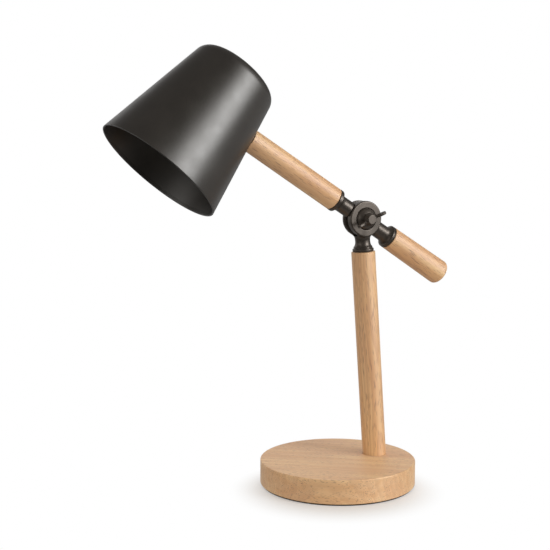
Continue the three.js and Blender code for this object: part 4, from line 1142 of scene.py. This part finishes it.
def add_bulb():
    cap_low = HOLDER_MOUTH + HOLDER_WALL + SEAT_GAP
    cap_high = cap_low + BULB_CAP_LENGTH
    pip_top = cap_high + BULB_PIP_HEIGHT
    inside = BULB_CAP_RADIUS - BULB_CAP_WALL
    thread = []
    for k in range(BULB_THREADS):
        height = cap_low + 3 + k * BULB_PITCH
        thread += [(BULB_CAP_RADIUS, height, 0.6), (BULB_CAP_RADIUS - 0.6, height + BULB_PITCH / 2, 0.6)]
    add_turned("bulb_cap_spun", rounded([
        (inside, cap_low), (BULB_CAP_RADIUS, cap_low), *thread,
        (BULB_CAP_RADIUS - 0.2, cap_high - BULB_PIP_RADIUS, 0.4), (BULB_PIP_RADIUS, cap_high, 0.4),
        (BULB_PIP_RADIUS - BULB_PIP_HEIGHT, pip_top, 0.3), (0, pip_top), (0, cap_high - BULB_CAP_WALL),
        (BULB_PIP_RADIUS - BULB_CAP_WALL, cap_high - BULB_CAP_WALL),
        (inside, cap_high - BULB_PIP_RADIUS),
    ], 3), SHADE, "bulb_cap", SMALL_SIDES)

    middle = HOLDER_MOUTH - BULB_CENTRE_DROP
    neck_top = cap_low - SEAT_GAP
    neck_low = neck_top - BULB_NECK_RADIUS / 2

    def side(ball, neck):
        leave = (ball * math.cos(BULB_LEAVE_ANGLE), middle + ball * math.sin(BULB_LEAVE_ANGLE))
        flare = bend(leave, (neck, middle + BULB_RADIUS), (neck, neck_low))
        round_part = arc((0, middle), ball, -QUARTER, BULB_LEAVE_ANGLE)
        return round_part + flare + [(neck, neck_low), (neck, neck_top)]

    inner = side(BULB_RADIUS - BULB_GLASS_WALL, BULB_NECK_RADIUS - BULB_GLASS_WALL)
    add_turned("bulb_glass_blown", side(BULB_RADIUS, BULB_NECK_RADIUS) + inner[::-1], SHADE, "bulb_glass")


def dress_kept_nodes():
    """The hidden solids whose shape is right keep their mesh and get their finish."""
    for name, node in frame["nodes"].items():
        if node.hide_render:
            continue
        for place in node.material_slots:
            place.link = "OBJECT"
            place.material = materials[slot_of[name]]


# Stage: floor, world, lamp and camera

FLOOR_HALF = 30.0
FLOOR_TONE = 0.6
FLOOR_LIFT = 0.2
FLOOR_NEAR = 0.058
FLOOR_FAR = 0.112
SHADOW_CENTRE = (-0.0125, -0.0217, 0)
FLOOR_GLEAM_NEAR = 0.05
FLOOR_GLEAM_FAR = 0.7
FLOOR_GLEAM_FRONT = 0.05
FLOOR_GLEAM_SIDE = 0.5
FLOOR_GLEAM_TOP = 0.4
WORLD_FILL_LOW = 0.38
WORLD_FILL_HIGH = 0.98
FILL_TINT = (1.0, 0.93, 0.845, 1.0)
KEY_DIRECTION = (0.555, -0.77, 0.3)
KEY_DISTANCE = 4.0
KEY_WIDTH = 1.35
KEY_HEIGHT = 2.1
KEY_RADIANCE = 7.2
KEY_TINT = (0.96, 1.0, 1.06)
KEY_GLOW = 5.8
KEY_GLOW_EDGE = 0.895
SIDE_GLOW = 1.8
SIDE_DIRECTION = (-0.96, -0.17, 0.21)
SIDE_GLOW_EDGE = 0.84
STUDIO_DIM = 0.18
STUDIO_WALL = 0.9
STUDIO_BACK = (-0.174, 0.985, 0)
LAMP_MIDDLE = Vector((0, 0, 0.2))


def add_floor():
    mesh = bpy.data.meshes.new("floor")
    corners = [(x * FLOOR_HALF, y * FLOOR_HALF, 0) for x, y in ((-1, -1), (1, -1), (1, 1), (-1, 1))]
    mesh.from_pydata(corners, [], [(0, 1, 2, 3)])
    floor = linked("floor", mesh)
    s = new_material("floor_pale")
    spot = s.place()
    path = s.add("LightPath")
    seen = s.seen(path)
    away = s.vector_math("LENGTH", spot)
    far = s.span(s.vector_math("DISTANCE", spot, SHADOW_CENTRE), FLOOR_NEAR, FLOOR_FAR)
    aside = s.vector_math("DOT_PRODUCT", spot, (0.6, 0.8, 0.0))
    dim = s.span(aside, -0.6, 1.0, FLOOR_GLEAM_FRONT, FLOOR_GLEAM_SIDE)
    gleam = s.most(s.span(away, FLOOR_GLEAM_NEAR, FLOOR_GLEAM_FAR, FLOOR_GLEAM_TOP, 0.0), dim)
    whiteness = s.minus(1.0, s.times(path["Is Glossy Ray"], s.minus(1.0, gleam)))
    s.tree.nodes.remove(s.tree.nodes["Principled BSDF"])
    diffuse = s.add("BsdfDiffuse", Color=(FLOOR_TONE, FLOOR_TONE, FLOOR_TONE, 1.0))[0]
    near = s.run("AddShader", diffuse, s.add("Emission", Strength=s.times(seen, FLOOR_LIFT))[0])
    white = s.add("Emission", Strength=whiteness)[0]
    fade = s.run("MixShader", s.times(far, seen), near, white)
    s.fill(s.tree.nodes["Material Output"], Surface=fade)
    mesh.materials.append(materials["floor_pale"])


def add_world():
    """White where the camera looks past the lamp. Reflections see that white wall low down behind the
    lamp, glows where the soft boxes stand and a dim studio elsewhere. Scattered light comes from all
    round, and more of it from above."""
    world = bpy.data.worlds.new("studio")
    scene.world = world
    s = Shader(world)
    direction = s.add("TexCoord")["Generated"]
    path = s.add("LightPath")
    past = s.most(path["Is Camera Ray"], path["Is Transmission Ray"])
    seen = s.seen(path)

    def glow(toward, edge, core, strength):
        lined_up = s.vector_math("DOT_PRODUCT", direction, Vector(toward).normalized())
        return s.span(lined_up, edge, core, 0.0, strength)

    height = s.add("SeparateXYZ", Vector=direction)[2]
    wall = s.times(glow(STUDIO_BACK, 0.47, 0.75, STUDIO_WALL), s.span(height, 0.34, 0.62, 1.0, 0.0))
    soft_boxes = s.plus(glow(KEY_DIRECTION, KEY_GLOW_EDGE, 1.0, KEY_GLOW),
                        glow(SIDE_DIRECTION, SIDE_GLOW_EDGE, 1.0, SIDE_GLOW))
    studio = s.plus(s.plus(wall, STUDIO_DIM), soft_boxes)
    shown = s.most(past, s.times(path["Is Glossy Ray"], studio))
    fill = s.times(s.minus(1.0, seen), s.span(height, -0.3, 0.9, WORLD_FILL_LOW, WORLD_FILL_HIGH))
    tint = s.mix(seen, FILL_TINT, WHITE)
    s.fill(s.tree.nodes["Background"], Color=tint, Strength=s.plus(shown, fill))


def add_key_light():
    """A soft box turned towards the lamp."""
    data = bpy.data.lights.new("key", "AREA")
    data.shape = "RECTANGLE"
    data.size = KEY_WIDTH
    data.size_y = KEY_HEIGHT
    data.energy = KEY_RADIANCE * math.pi * KEY_WIDTH * KEY_HEIGHT
    data.color = KEY_TINT
    light = linked("key", data)
    way = Vector(KEY_DIRECTION).normalized()
    light.location = LAMP_MIDDLE + way * KEY_DISTANCE
    light.rotation_euler = way.to_track_quat("Z", "Y").to_euler()


def add_camera():
    data = bpy.data.cameras.new("camera")
    data.lens = CAMERA_LENS
    data.sensor_width = CAMERA_SENSOR
    camera = linked("camera", data)
    camera.location = CAMERA_PLACE
    camera.rotation_euler = (QUARTER - CAMERA_DROP, 0, CAMERA_TURN)
    scene.camera = camera


add_camera()
add_foot()
add_post()
add_fork()
add_eye()
add_bolt_and_washer()
add_wing_nut()
add_rods()
add_shade_hardware()
add_shade()
add_bracket()
add_lampholder()
add_lead()
add_bulb()
dress_kept_nodes()
add_floor()
add_world()
add_key_light()
scene.view_settings.view_transform = "Standard"
